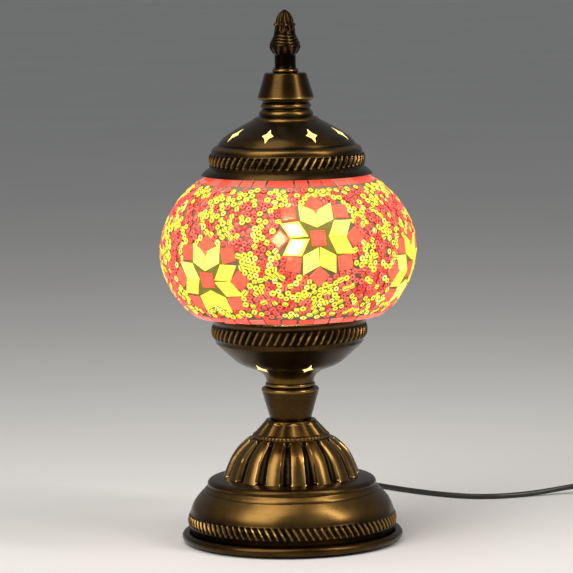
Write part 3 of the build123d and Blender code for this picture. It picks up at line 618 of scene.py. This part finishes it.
def star_cutter(size, count, first, r, z, slope):
    """Four-pointed star prisms as one cutter mesh, square to a wall that faces slope degrees above level."""
    verts, faces = [], []
    for k in range(count):
        turn = Matrix.Rotation(math.radians(first + k * 360 / count), 4, "Z")
        spot = turn @ Matrix.Translation((0, -r, z)) @ Matrix.Rotation(math.radians(90 - slope), 4, "X")
        base = len(verts)
        for high in (-3.0, 3.0):
            for i in range(8):
                reach = size if i % 2 == 0 else STAR_WAIST * size
                angle = math.radians(45 * i)
                across, along = STAR_WIDE * reach * math.cos(angle), STAR_TALL * reach * math.sin(angle)
                verts.append(spot @ Vector((across, along, high)))
        faces.append([base + i for i in reversed(range(8))])
        faces.append([base + 8 + i for i in range(8)])
        faces += [[base + i, base + (i + 1) % 8, base + 8 + (i + 1) % 8, base + 8 + i] for i in range(8)]
    mesh = bpy.data.meshes.new("cutter")
    mesh.from_pydata([tuple(v * MM) for v in verts], [], faces)
    mesh.materials.append(PAINTED_GLOW_BRASS)
    return new_object("cutter", mesh)


def cut_stars(obj, *star):
    """Cuts the star holes through a piece."""
    cutter = star_cutter(*star)
    cut = obj.modifiers.new("stars", "BOOLEAN")
    cut.object, cut.operation, cut.solver = cutter, "DIFFERENCE", "EXACT"
    bpy.context.view_layer.update()
    depsgraph = bpy.context.evaluated_depsgraph_get()
    mesh = bpy.data.meshes.new_from_object(obj.evaluated_get(depsgraph))
    obj.modifiers.clear()
    old, obj.data = obj.data, mesh
    bpy.data.meshes.remove(old)
    mesh.name = obj.name
    mesh.shade_smooth()
    mesh.set_sharp_from_angle(angle=math.radians(40))
    bpy.data.objects.remove(cutter)


def bowl_relief(r, z, bearing):
    """A rope bead, with the metal brighter at the lip and the foot."""
    lift, rub_and_sheen = rope(z, bearing, BOWL_ROPE, 62, 0.9, 1.1)
    shine = 0.20 + 0.25 * ease((z - 138.0) / 1.2) + 0.15 * ease((110 - z) / 5)
    return lift, np.where(in_band(z, BOWL_ROPE), 0.85 * rub_and_sheen, shine)


bowl_outside = np.vstack([
    [[PIPE_HOLE, COLLAR_TOP]],
    outline(
        (14.7, COLLAR_TOP),
        [(15.3, 102.9), (19.6, 107.3), (26.2, 110.1), (31.7, 112.6), (37.7, 117.6), (43.2, 122.6)],
        (46.0, 125.4), (46.6, 127.9), step=0.9,
    ),
    outline((46.6, 127.9), [(48.4, 129.9), (48.9, 133.0), (48.5, 135.8), (47.4, 137.6)], step=0.45)[1:],
    outline((47.4, 137.6), [(48.6, 139.4), (50.8, BOWL_LIP)], step=0.5)[1:],
])
# the bowl's inside between 100 and 124 mm takes the painted glow
bowl = spun("bowl_skin", "lower_bowl", bowl_outside, inner_wall(bowl_outside, WALL, top_z=BOWL_LIP)[::2],
            bowl_relief, 600, lining=(PAINTED_GLOW_BRASS, 100, 124))
cut_stars(bowl, 5.2, 6, 22.6, 28.5, 111.2, -65)


def cap_relief(r, z, bearing):
    """A rope bead, then rings and grooves up to the neck."""
    lift, rub_and_sheen = rope(z, bearing, CAP_ROPE, 62, 0.9, 1.15)
    rings = rings_at(z, 0.9, 247.3, 265.0, 269.2, 273.4)
    grooves = rings_at(z, 0.5, 249.3, 267.0, 271.4, 275.5)
    shine = np.clip(0.22 + 0.34 * rings - 0.3 * grooves, 0, 1)
    return lift + 0.25 * rings - 0.45 * grooves, np.where(in_band(z, CAP_ROPE), 0.85 * rub_and_sheen, shine)


cap_outside = np.vstack([
    outline((53.3, CAP_LIP), [(52.1, 232.0), (50.4, 233.6), (48.0, 235.2)], step=0.5),
    outline((48.0, 235.2), [(48.5, 237.6), (48.9, 240.2), (48.4, 242.6), (46.9, 244.4)], step=0.45)[1:],
    outline(
        (46.9, 244.4),
        [(46.5, 246.3), (44.9, 247.8)],
        [(43.2, 249.3), (39.9, 252.9), (34.2, 257.0), (27.4, 261.0), (20.8, 264.4)],
        step=0.7,
    )[1:],
    outline(
        (20.8, 264.4),
        [(19.2, 265.9), (17.0, 267.3)],
        [(16.4, 269.1), (15.2, 270.8)],
        [(15.4, 273.1), (14.8, 274.8)],
        (14.9, CAP_TOP),
        step=0.3,
    )[1:],
    [[STUD_HOLE, CAP_TOP]],
])
cap_inside = inner_wall(cap_outside, WALL, foot_z=CAP_LIP, top_z=275.6)[::3]
# the cap's inside between 246 and 276 mm takes the painted glow
cap = spun("cap_skin", "upper_cap", cap_outside, cap_inside, cap_relief, 540,
           lining=(PAINTED_GLOW_BRASS, 246, 276), body="cap")
cut_stars(cap, 5.2, 8, 26.0, 35.2, 256.5, 55)

cone = outline((16.8, CAP_TOP), (17.6, 278.2), (13.1, 293.0), (12.5, CONE_TOP), step=0.6)
spun("cap_cone_skin", "cap_cone", np.vstack([cone, [[STUD_HOLE, CONE_TOP]]]),
     [(STUD_HOLE, 291.9), (11.6, 291.9), (15.9, 278.2), (15.4, CAP_TOP)],
     lip_shine(277.2, 279.0), 200, body="cap")
washer = outline((7.5, 293.6), [(8.1, 294.6), (8.1, 295.2), (7.3, 296.3)], step=0.25)
spun("finial_washer_skin", "finial_washer", np.vstack([washer, [[STUD_HOLE, 296.3]]]), [(STUD_HOLE, 293.6)],
     lip_shine(294, 295.8), 120, body="finial_washer")


def finial_relief(r, z, bearing):
    """Gadroons, curved bands and a leaf's vein round the bulb, curled petals and a ribbed bud."""
    def off_nearest(first, count):
        """The angle from the nearest of count marks round the axis."""
        half = math.pi / count
        return np.abs(np.mod(bearing - first + half, 2 * half) - half)

    vein_off = off_nearest(0.30, 4)
    wave = z + 0.8 * np.cos(2 * vein_off)
    on_bulb = between(z, 310.2, 0.7, 318.0, 0.8)
    ring = np.cos((wave - 311.0) * 2 * math.pi / 1.9)
    vein = np.exp(-((vein_off / 0.07) ** 2)) * between(z, 307.0, 1.0, 320.0, 1.0)
    lobes = np.cos(bearing * 14) * between(z, 305.0, 0.8, 310.4, 0.8)
    petal = np.exp(-((off_nearest(0.12, 6) / 0.20) ** 2)) * rings_at(z, 1.0, 323.0)
    sepal = np.cos(bearing * 12) * between(z, 318.5, 1.0, 323.0, 1.0)
    ribs = np.cos(bearing * 12) * between(z, 324.0, 0.6, 332.4, 3.5)
    lift = 0.24 * on_bulb * ring * (1 - vein) + 0.35 * vein + 0.28 * lobes
    lift += 1.7 * petal + 0.18 * sepal + 0.32 * ribs
    rub_and_sheen = 0.34 * np.clip(on_bulb * ring + vein + lobes + 1.2 * petal + 0.6 * sepal + 0.7 * ribs, 0, 1.4)
    return lift, np.clip(rub_and_sheen, 0, 1)


FINIAL_LOW, FINIAL_TOP = 296.4, 332.5
finial_outside = outline(
    (6.9, FINIAL_LOW), (6.6, 297.6), (6.6, 304.4),
    [(8.0, 306.2), (9.5, 309.9), (8.5, 313.4), (6.9, 316.6), (6.5, 318.8)],
    [(6.1, 320.8), (5.9, 322.6)],
    [(5.8, 323.7), (5.3, 324.3)],
    [(5.2, 325.4), (4.6, 327.5), (3.5, 329.6), (2.1, 331.4), (0.6, FINIAL_TOP)],
    step=0.25,
)
spun("finial_skin", "finial", np.vstack([finial_outside, [[0.02, FINIAL_TOP]]]),
     [(0.02, 305.5), (3.0, 305.5), (3.0, FINIAL_LOW)], finial_relief, 240, body="finial", smooth=55)


# ---- globe
GLOBE_R, GLOBE_HALF, GLOBE_MIDDLE = 80.2, 60.4, 183.5
BEAD_BED = 1.1  # depth of the beads' datum below their tops
BED_R, BED_HALF = GLOBE_R - BEAD_BED, GLOBE_HALF - BEAD_BED
TILE_BACK, TILE_THICK = 1.7, 1.1
# bearing and height of each star's middle
STARS = ((14, 197.5), (73, 172.5), (135, 195), (197, 173), (258, 196), (320.5, 171.5))
SQUARE = 9.3  # side of a coral square
RHOMB, RHOMB_ANGLE = 11.8, 64  # side and sharp corner of a rhombus
STAR_CORE = 5.9  # from a star's middle to the inner corners of its rhombi
# from a star's middle to its squares: at its tips, at its upper tip, and between its arms
LEVEL_REACH, TOP_REACH, CORNER_REACH = 24.4, 21.8, 23.4
BORDERS = ((228.0, 7.2), (145.4, 4.6))  # height and width of each row of border tiles
BORDER_TILES = 38
BEAD_BAND = (148.6, 224.6)
BEAD_GAP = 4.1  # from one bead's middle to the next
BEAD_CROWDED = 3.1  # nearer than this, one of the two is dropped
BEAD_CLEAR = 1.85  # from a bead's middle to a tile's edge
STAR_CLEAR = 14  # no bead nearer than this to a star's middle
rng = np.random.default_rng(11)


def globe_frame(bearing, z, u=0.0, v=0.0, turn=0.0, depth=0.0):
    """A spot on the globe, u sideways and v up from a bearing and height: its place and its axes as rows."""
    across, up = GLOBE_R - depth, GLOBE_HALF - depth

    def outward(p):
        return Vector((p.x / across**2, p.y / across**2, p.z / up**2)).normalized()

    angle = math.radians(bearing)
    r = across * math.sqrt(1 - ((z - GLOBE_MIDDLE) / up) ** 2)
    start = Vector((r * math.sin(angle), -r * math.cos(angle), z - GLOBE_MIDDLE))
    side = Vector((math.cos(angle), math.sin(angle), 0))
    spot = start + side * u + outward(start).cross(side) * v
    spot /= math.sqrt((spot.x / across) ** 2 + (spot.y / across) ** 2 + (spot.z / up) ** 2)
    out = outward(spot)
    side = Matrix.Rotation(math.radians(turn), 3, out) @ (side - out * side.dot(out)).normalized()
    return np.array(spot) + (0, 0, GLOBE_MIDDLE), np.array([side, out.cross(side), out])


STAR_MIDDLES = np.array([globe_frame(bearing, height, depth=BEAD_BED)[0] for bearing, height in STARS])


def cut_tile(corners, bearing, z, u=0.0, v=0.0, turn=0.0, wander=0.35, slack=2.5):
    """One hand-cut tile: corners, place and axes, each a little off."""
    du, dv = rng.normal(0, wander, 2)
    place_at, axes = globe_frame(bearing, z, u + du, v + dv, turn + rng.normal(0, slack), TILE_BACK)
    corners = np.asarray(corners, dtype=float)
    return corners + rng.uniform(-0.28, 0.28, corners.shape), place_at, axes


def box_corners(wide, long):
    return [(-wide / 2, -long / 2), (wide / 2, -long / 2), (wide / 2, long / 2), (-wide / 2, long / 2)]


def star_rhombi():
    """Four pairs of rhombi round each star's middle."""
    lean = math.radians(RHOMB_ANGLE)
    tall, skew = RHOMB * math.sin(lean), RHOMB * math.cos(lean)
    tiles = []
    for bearing, height in STARS:
        for quarter in range(4):
            for side in (1, -1):
                corners = [(0, 0), (RHOMB, 0), (RHOMB + skew, side * tall), (skew, side * tall)]
                middle = np.array([(RHOMB + skew) / 2, side * tall / 2])
                shrunk = (np.array(corners) - middle) * 0.955
                if side < 0:
                    shrunk = shrunk[::-1]
                angle = math.radians(90 * quarter)
                u = (STAR_CORE + middle[0]) * math.cos(angle) - middle[1] * math.sin(angle)
                v = (STAR_CORE + middle[0]) * math.sin(angle) + middle[1] * math.cos(angle)
                tiles.append(cut_tile(shrunk, bearing, height, u, v, 90 * quarter, 0.2, 1.5))
    return tiles


def star_squares():
    """A square in each star's middle, and those round it that clear the border tiles."""
    tiles, square = [], box_corners(SQUARE, SQUARE)
    for bearing, height in STARS:
        tiles.append(cut_tile(square, bearing, height, wander=0.25))
        for i in range(8):
            reach = TOP_REACH if i == 2 else LEVEL_REACH if i % 2 == 0 else CORNER_REACH
            reach += rng.uniform(-0.4, 0.9)
            angle = math.radians(45 * i)
            u, v = reach * math.cos(angle), reach * math.sin(angle)
            turn = 45 if i % 2 == 0 else 0
            tile = cut_tile(square, bearing, height, u, v, turn, slack=5)
            if BORDERS[1][0] + 5.5 < tile[1][2] < BORDERS[0][0] - 8:
                tiles.append(tile)
    return tiles


def border_row(height, long):
    r = (GLOBE_R - TILE_BACK) * math.sqrt(1 - ((height - GLOBE_MIDDLE) / (GLOBE_HALF - TILE_BACK)) ** 2)
    wide = 2 * math.pi * r / BORDER_TILES - 0.8
    tiles = []
    for i in range(BORDER_TILES):
        corners = box_corners(wide + rng.uniform(-0.5, 0.3), long + rng.uniform(-0.6, 0.4))
        tiles.append(cut_tile(corners, 360 * i / BORDER_TILES, height, wander=0.22, slack=2.2))
    return tiles


def tile_mesh(name, tiles, finishes, node, slot):
    """Flat bevelled glass tiles, open at their backs, as one piece, each in one of a few shades."""
    verts, faces, slots = [], [], []
    inset, bevel = 0.3 / 4.6, 0.28  # how much narrower the face is, and how deep the bevel
    for corners, spot, axes in tiles:
        n, base = len(corners), len(verts)
        middle = corners.mean(axis=0)
        for shrink, high in ((1.0, 0.0), (1.0, TILE_THICK - bevel), (1 - inset, TILE_THICK)):
            flat = middle + (corners - middle) * shrink
            verts += list(spot + flat @ axes[:2] + high * axes[2])
        faces.append([base + 2 * n + i for i in range(n)])
        for a in (base, base + n):
            faces += [[a + i, a + (i + 1) % n, a + n + (i + 1) % n, a + n + i] for i in range(n)]
        slots += [int(rng.choice(len(finishes)))] * (1 + 2 * n)
    return add_mesh(name, verts, faces, finishes, "globe", [node], slot, smooth=20, face_slots=slots)


def tile_edges(tiles):
    """Each tile's place, axes, and the outward normals and offsets of its four edges."""
    corners = np.array([t[0] for t in tiles])
    ahead = np.roll(corners, -1, axis=1) - corners
    normals = np.stack([ahead[..., 1], -ahead[..., 0]], axis=-1)
    normals /= np.linalg.norm(normals, axis=-1, keepdims=True)
    places_at, axes = np.array([t[1] for t in tiles]), np.array([t[2] for t in tiles])
    return places_at, axes, normals, (normals * corners).sum(-1)


def tile_distance(points, edges):
    """For each point, how far it is outside the nearest tile (less than 0 inside it), and the way out."""
    places_at, axes, normals, offsets = edges
    best = np.full(len(points), 1e3)
    way = np.zeros_like(points)
    for place_at, frame_axes, normal, offset in zip(places_at, axes, normals, offsets):
        away = points - place_at
        near = np.nonzero((away**2).sum(-1) < 15.0**2)[0]
        if not len(near):
            continue
        flat = away[near] @ frame_axes[:2].T
        reach = flat @ normal.T - offset
        edge = reach.argmax(axis=1)
        far = reach[np.arange(len(near)), edge]
        closer = far < best[near]
        best[near[closer]] = far[closer]
        way[near[closer]] = (normal[edge] @ frame_axes[:2])[closer]
    return best, way


def settle(points):
    """Brings points back to the beads' datum surface, inside the band between the border tiles."""
    p = points - (0, 0, GLOBE_MIDDLE)
    p /= np.sqrt((p[:, 0] ** 2 + p[:, 1] ** 2) / BED_R**2 + p[:, 2] ** 2 / BED_HALF**2)[:, None]
    z = np.clip(p[:, 2], *(np.array(BEAD_BAND) - GLOBE_MIDDLE))
    r = np.hypot(p[:, 0], p[:, 1])
    ring = BED_R * np.sqrt(1 - (z / BED_HALF) ** 2)
    p[:, :2] *= (ring / r)[:, None]
    p[:, 2] = z
    return p + (0, 0, GLOBE_MIDDLE)


def squared_gaps(points):
    """The squared distance from every point to every other."""
    squares = (points**2).sum(-1)
    return squares[:, None] + squares[None, :] - 2 * points @ points.T


def bead_places(edges):
    """Beads strewn evenly over the band, nudged apart and off the tiles, and dropped where they can't fit."""
    heights = np.linspace(*BEAD_BAND, 400) - GLOBE_MIDDLE
    radii = BED_R * np.sqrt(1 - (heights / BED_HALF) ** 2)
    ring = 2 * math.pi * radii * np.sqrt(1 + np.gradient(radii, heights) ** 2)
    area = np.concatenate([[0], np.cumsum((ring[1:] + ring[:-1]) / 2 * np.diff(heights))])
    count = int(area[-1] / (0.866 * BEAD_GAP**2))
    z = np.interp((np.arange(count) + 0.5) / count * area[-1], area, heights)
    angle = np.arange(count) * math.pi * (3 - math.sqrt(5))
    points = round_axis(BED_R * np.sqrt(1 - (z / BED_HALF) ** 2), angle, z + GLOBE_MIDDLE)
    points = settle(points + rng.normal(0, 0.6, points.shape))
    points = points[tile_distance(points, edges)[0] > -0.2]
    for step in range(28):
        if step % 7 == 0:  # each bead's nearest neighbours, itself among them
            near = np.argpartition(squared_gaps(points), 9, axis=1)[:, :9]
        gap = points[:, None] - points[near]
        dist = np.maximum(np.linalg.norm(gap, axis=-1), 1e-6)
        own = near == np.arange(len(points))[:, None]
        push = np.where(own, 0, np.clip(BEAD_GAP - dist, 0, None) / dist * 0.32)
        points = settle(points + (gap * push[..., None]).sum(axis=1))
        far, way = tile_distance(points, edges)
        points = settle(points + way * np.clip(BEAD_CLEAR - far, 0, None)[:, None])
    points = points[tile_distance(points, edges)[0] > BEAD_CLEAR - 0.4]
    points = points[np.linalg.norm(points[:, None] - STAR_MIDDLES[None], axis=-1).min(axis=1) > STAR_CLEAR]
    apart = np.sqrt(np.maximum(squared_gaps(points), 0))
    keep = np.ones(len(points), bool)
    for i in range(len(points)):
        if keep[i]:
            crowded = np.nonzero(apart[i] < BEAD_CROWDED)[0]
            keep[crowded[crowded > i]] = False
    return points[keep]


def flat_bead():
    """A short bead on its end: vertices, faces, and each face's part (0 glass, 1 painted shade on the bore's
    wall and the outer side, 2 floor of the bore).
    """
    profile = [(0.28, 0.2), (0.72, 0.84), (1.05, 1.08), (1.55, 1.14), (2.08, 0.84), (2.3, 0.25), (2.24, -0.7)]
    around = 12
    verts = [(0.0, 0.0, 0.1)]
    for r, h in profile:
        angles = [2 * math.pi * k / around for k in range(around)]
        verts += [(r * math.cos(angle), r * math.sin(angle), h) for angle in angles]
    faces = [[0, 1 + k, 1 + (k + 1) % around, 0] for k in range(around)]
    parts = [2] * around
    for ring in range(len(profile) - 1):
        a, b = 1 + ring * around, 1 + (ring + 1) * around
        faces += [[a + k, b + k, b + (k + 1) % around, a + (k + 1) % around] for k in range(around)]
        # the bore's wall and the outer side take painted shade
        parts += [1 if ring in (0, 4, 5) else 0] * around
    return np.array(verts), faces, np.array(parts)


def lying_bead():
    """A bead on its side, with painted shade in darker lines along its middle over the bore and along both
    sides, in the same form as flat_bead's.
    """
    tilts = np.radians([-98, -68, -38, -9, 9, 38, 68, 98])
    stations = [(-2.2, 0.62), (-1.85, 0.90), (-1.0, 1.0), (1.0, 1.0), (1.85, 0.90), (2.2, 0.62)]
    verts = [(x, 1.95 * s * math.sin(t), 1.12 - 1.5 * (1 - s * math.cos(t)))
             for x, s in stations for t in tilts]
    n = len(tilts)
    faces, parts = [], []
    for row in range(len(stations) - 1):
        for k in range(n - 1):
            a = row * n + k
            faces.append([a, a + n, a + n + 1, a + 1])
            # both sides and a line over the bore take painted shade
            parts.append(1 if k in (0, 6) or (k == 3 and 0 < row < 4) else 0)
    for start, order in ((0, 1), (len(stations) - 1, -1)):
        for k in range(1, n - 2, 2):
            quad = [start * n, start * n + k, start * n + k + 1, start * n + min(k + 2, n - 1)]
            faces.append(quad[::order])
            parts.append(0)
    return np.array(verts), faces, np.array(parts)


def strewn(name, points, finishes, slot):
    """Beads at points on the globe, each lying flat or on its side, in one of a few shades."""
    out = (points - (0, 0, GLOBE_MIDDLE)) / (BED_R**2, BED_R**2, BED_HALF**2)
    out += rng.normal(0, 0.05, out.shape) * np.linalg.norm(out, axis=1, keepdims=True)
    out /= np.linalg.norm(out, axis=1, keepdims=True)
    side = np.cross((0, 0, 1.0), out)
    side /= np.linalg.norm(side, axis=1, keepdims=True)
    turn = rng.uniform(0, math.pi, len(points))[:, None]
    side = side * np.cos(turn) + np.cross(out, side) * np.sin(turn)
    axes = np.stack([side, np.cross(out, side), out], axis=1)
    lying = rng.random(len(points)) < 0.48
    shade = rng.choice(len(finishes) - 1, len(points), p=SHADE_ODDS)
    verts, faces, slots, total = [], [], [], 0
    for which, (shape, quads, parts) in ((~lying, flat_bead()), (lying, lying_bead())):
        chosen = np.nonzero(which)[0]
        size = rng.uniform(0.84, 1.02, (len(chosen), 1, 1)) * np.ones((1, 1, 3))
        if which is lying:
            size[:, :, 0] *= rng.uniform(0.72, 1.0, (len(chosen), 1))
        placed = np.einsum("nvi,nij->nvj", shape[None] * size, axes[chosen]) + points[chosen][:, None]
        verts.append(placed.reshape(-1, 3))
        quads = np.array(quads)
        base = total + np.arange(len(chosen))[:, None, None] * len(shape)
        faces.append((quads[None] + base).reshape(-1, 4))
        # the last finish is the painted shade, a darker glow on the bore's wall and the bead's sides
        dark = len(finishes) - 1
        slots.append(np.where(parts[None] == 1, dark, shade[chosen][:, None]).reshape(-1))
        total += placed.shape[0] * placed.shape[1]
    # a triangle is a row with one corner twice
    rows = [[i for j, i in enumerate(row) if row[j - 1] != i] for row in np.vstack(faces).tolist()]
    return add_mesh(name, np.vstack(verts), rows, finishes, "globe", (), slot, smooth=50,
                    face_slots=np.concatenate(slots))


def grout_bed(edges):
    """The plaster between the glass: a fine net over the globe, open under the tiles, with a painted glow on it
    round the stars.
    """
    around, rows = 620, 120
    # sines of the latitude, from the bowl's lip to the seat under the cap
    lift = np.sin(np.linspace(math.asin(-0.672), math.asin(0.79), rows + 1))
    angle = np.arange(around) * 2 * math.pi / around
    sag = -0.12 + rng.normal(0, 0.10, (rows + 1, around))
    r = (BED_R + sag) * np.sqrt(1 - lift**2)[:, None]
    verts = round_axis(r, angle, (BED_HALF + sag) * lift[:, None] + GLOBE_MIDDLE)
    index = np.arange((rows + 1) * around).reshape(rows + 1, around)
    quads = ring_quads(index[:-1], index[1:])
    middles = verts[quads].mean(axis=1)
    far, _ = tile_distance(middles, edges)
    quads, middles = quads[far > -0.9], middles[far > -0.9]
    # grout near a star's middle takes the painted glow
    star_glow_faces = (np.linalg.norm(middles[:, None] - STAR_MIDDLES[None], axis=-1) < 18.0).any(axis=1)
    return add_mesh("grout_bed", verts, quads.tolist(), [GROUT_GREY, GROUT_PAINTED_GLOW], "globe", ["grout_layer"],
                    "grout", smooth=60, face_slots=star_glow_faces.astype(int))


def globe_shell():
    """The blown glass under the mosaic: flat at its foot, open at both ends."""
    mouth = 46.0  # radius of both openings

    def half(depth, low_z):
        across, up = GLOBE_R - depth, GLOBE_HALF - depth
        top = GLOBE_MIDDLE + up * math.sqrt(1 - (mouth / across) ** 2)
        z = np.linspace(low_z, top, 60)
        return np.column_stack([across * np.sqrt(1 - ((z - GLOBE_MIDDLE) / up) ** 2), z])

    outside = np.vstack([[[mouth, 141.7]], half(2.7, 141.9)])
    inside = np.vstack([[[mouth, 143.9]], half(4.9, 144.1)])[::-1]
    turned("globe_glass", outside, inside, None, 200, CLEAR_GLASS, body="globe", replaces=["glass_globe"],
           slot="globe_glass")


def bulb():
    """Frosted round bulb, lit: a glass envelope over a white-hot heart."""
    foot, top, wall = 155.2, 206.0, 0.8
    envelope = outline(
        (7.8, foot),
        [(10.4, 158.4), (16.2, 166.4), (21.4, 176.6), (22.5, 183.5), (20.4, 193.0), (13.4, 201.6),
         (4.0, 205.64)],
        (0.8, top),
        step=1.2,
    )
    inside = np.vstack([[[0.02, 205.2]], inner_wall(envelope, wall, foot_z=foot)])
    turned("bulb_envelope", np.vstack([envelope, [[0.02, top]]]), inside, None, 96, CLEAR_GLASS,
           body="bulb", replaces=["bulb_glass"], slot="bulb_glass")
    heart = [(10.2 * math.sin(a), 190.0 - 12.0 * math.cos(a)) for a in np.linspace(0.02, math.pi - 0.02, 22)]
    turned("bulb_heart", heart, (), None, 40, WHITE_HOT, body="bulb", replaces=["bulb_filaments"],
           slot="filament")
    stem = outline((5.2, 155.0), [(3.4, 160), (2.0, 166)], (1.6, 172), (0.02, 172.6), step=1.0)
    turned("bulb_stem_skin", stem, [(0.02, 155.0)], None, 40, CLEAR_GLASS, body="bulb", replaces=["bulb_stem"],
           slot="bulb_glass")


bulb()
globe_shell()
rhombi, squares = star_rhombi(), star_squares()
upper_row, lower_row = border_row(*BORDERS[0]), border_row(*BORDERS[1])
edges = tile_edges([*rhombi, *squares, *upper_row, *lower_row])
tile_mesh("rhombus_tiles", rhombi, YELLOW_TILES, "star_tiles", "yellow_glass")
tile_mesh("coral_squares", squares, CORAL_TILES, "square_tiles", "coral_glass")
tile_mesh("upper_border", upper_row, CORAL_BEADS[:2], "border_tiles_upper", "coral_glass")
tile_mesh("lower_border", lower_row, CORAL_BEADS[:2], "border_tiles_lower", "coral_glass")
grout_bed(edges)
beads = bead_places(edges)
# slow waves over the globe that gather beads of one colour into patches
waves = rng.normal(0, 1, (9, 3))
waves *= (rng.uniform(0.16, 0.42, 9) / np.linalg.norm(waves, axis=1))[:, None]
patches = np.cos(beads @ waves.T + rng.uniform(0, 6.28, 9)).sum(axis=1) / 2.1
is_yellow = rng.random(len(beads)) < 1 / (1 + np.exp(0.2 - 1.25 * patches))
strewn("yellow_beads", beads[is_yellow], [*YELLOW_BEADS, BEAD_SHADE_OLIVE], "yellow_glass")
strewn("coral_beads", beads[~is_yellow], [*CORAL_BEADS, BEAD_SHADE_RED], "coral_glass")


# ---- floor and light
floor_mat = plain_solid("floor", (0.70, 0.69, 0.67), (0.67, 0.66, 0.64), 0.7, 3, 60, 0.05)
floor_mesh = bpy.data.meshes.new("floor")
floor_mesh.from_pydata([(-30, -30, 0), (30, -30, 0), (30, 30, 0), (-30, 30, 0)], [], [(0, 1, 2, 3)])
floor_mesh.materials.append(floor_mat)
floor = new_object("floor", floor_mesh)

world = bpy.data.worlds.new("world")
bpy.context.scene.world = world
world.use_nodes = True
settings(world.node_tree.nodes["Background"], Color=(0.9, 0.92, 0.95, 1), Strength=0.24)
area_light("key", -43, 0.85, 0.90, (0.75, 1.10), 12.5, (1.0, 0.97, 0.92))
area_light("strip", 60, 0.80, 0.80, (0.13, 0.85), 6.5, (1.0, 0.97, 0.93))
area_light("top", -60, 0.25, 1.35, (0.7, 0.5), 4, (1.0, 0.99, 0.97))
bpy.context.scene.view_settings.view_transform = "Standard"
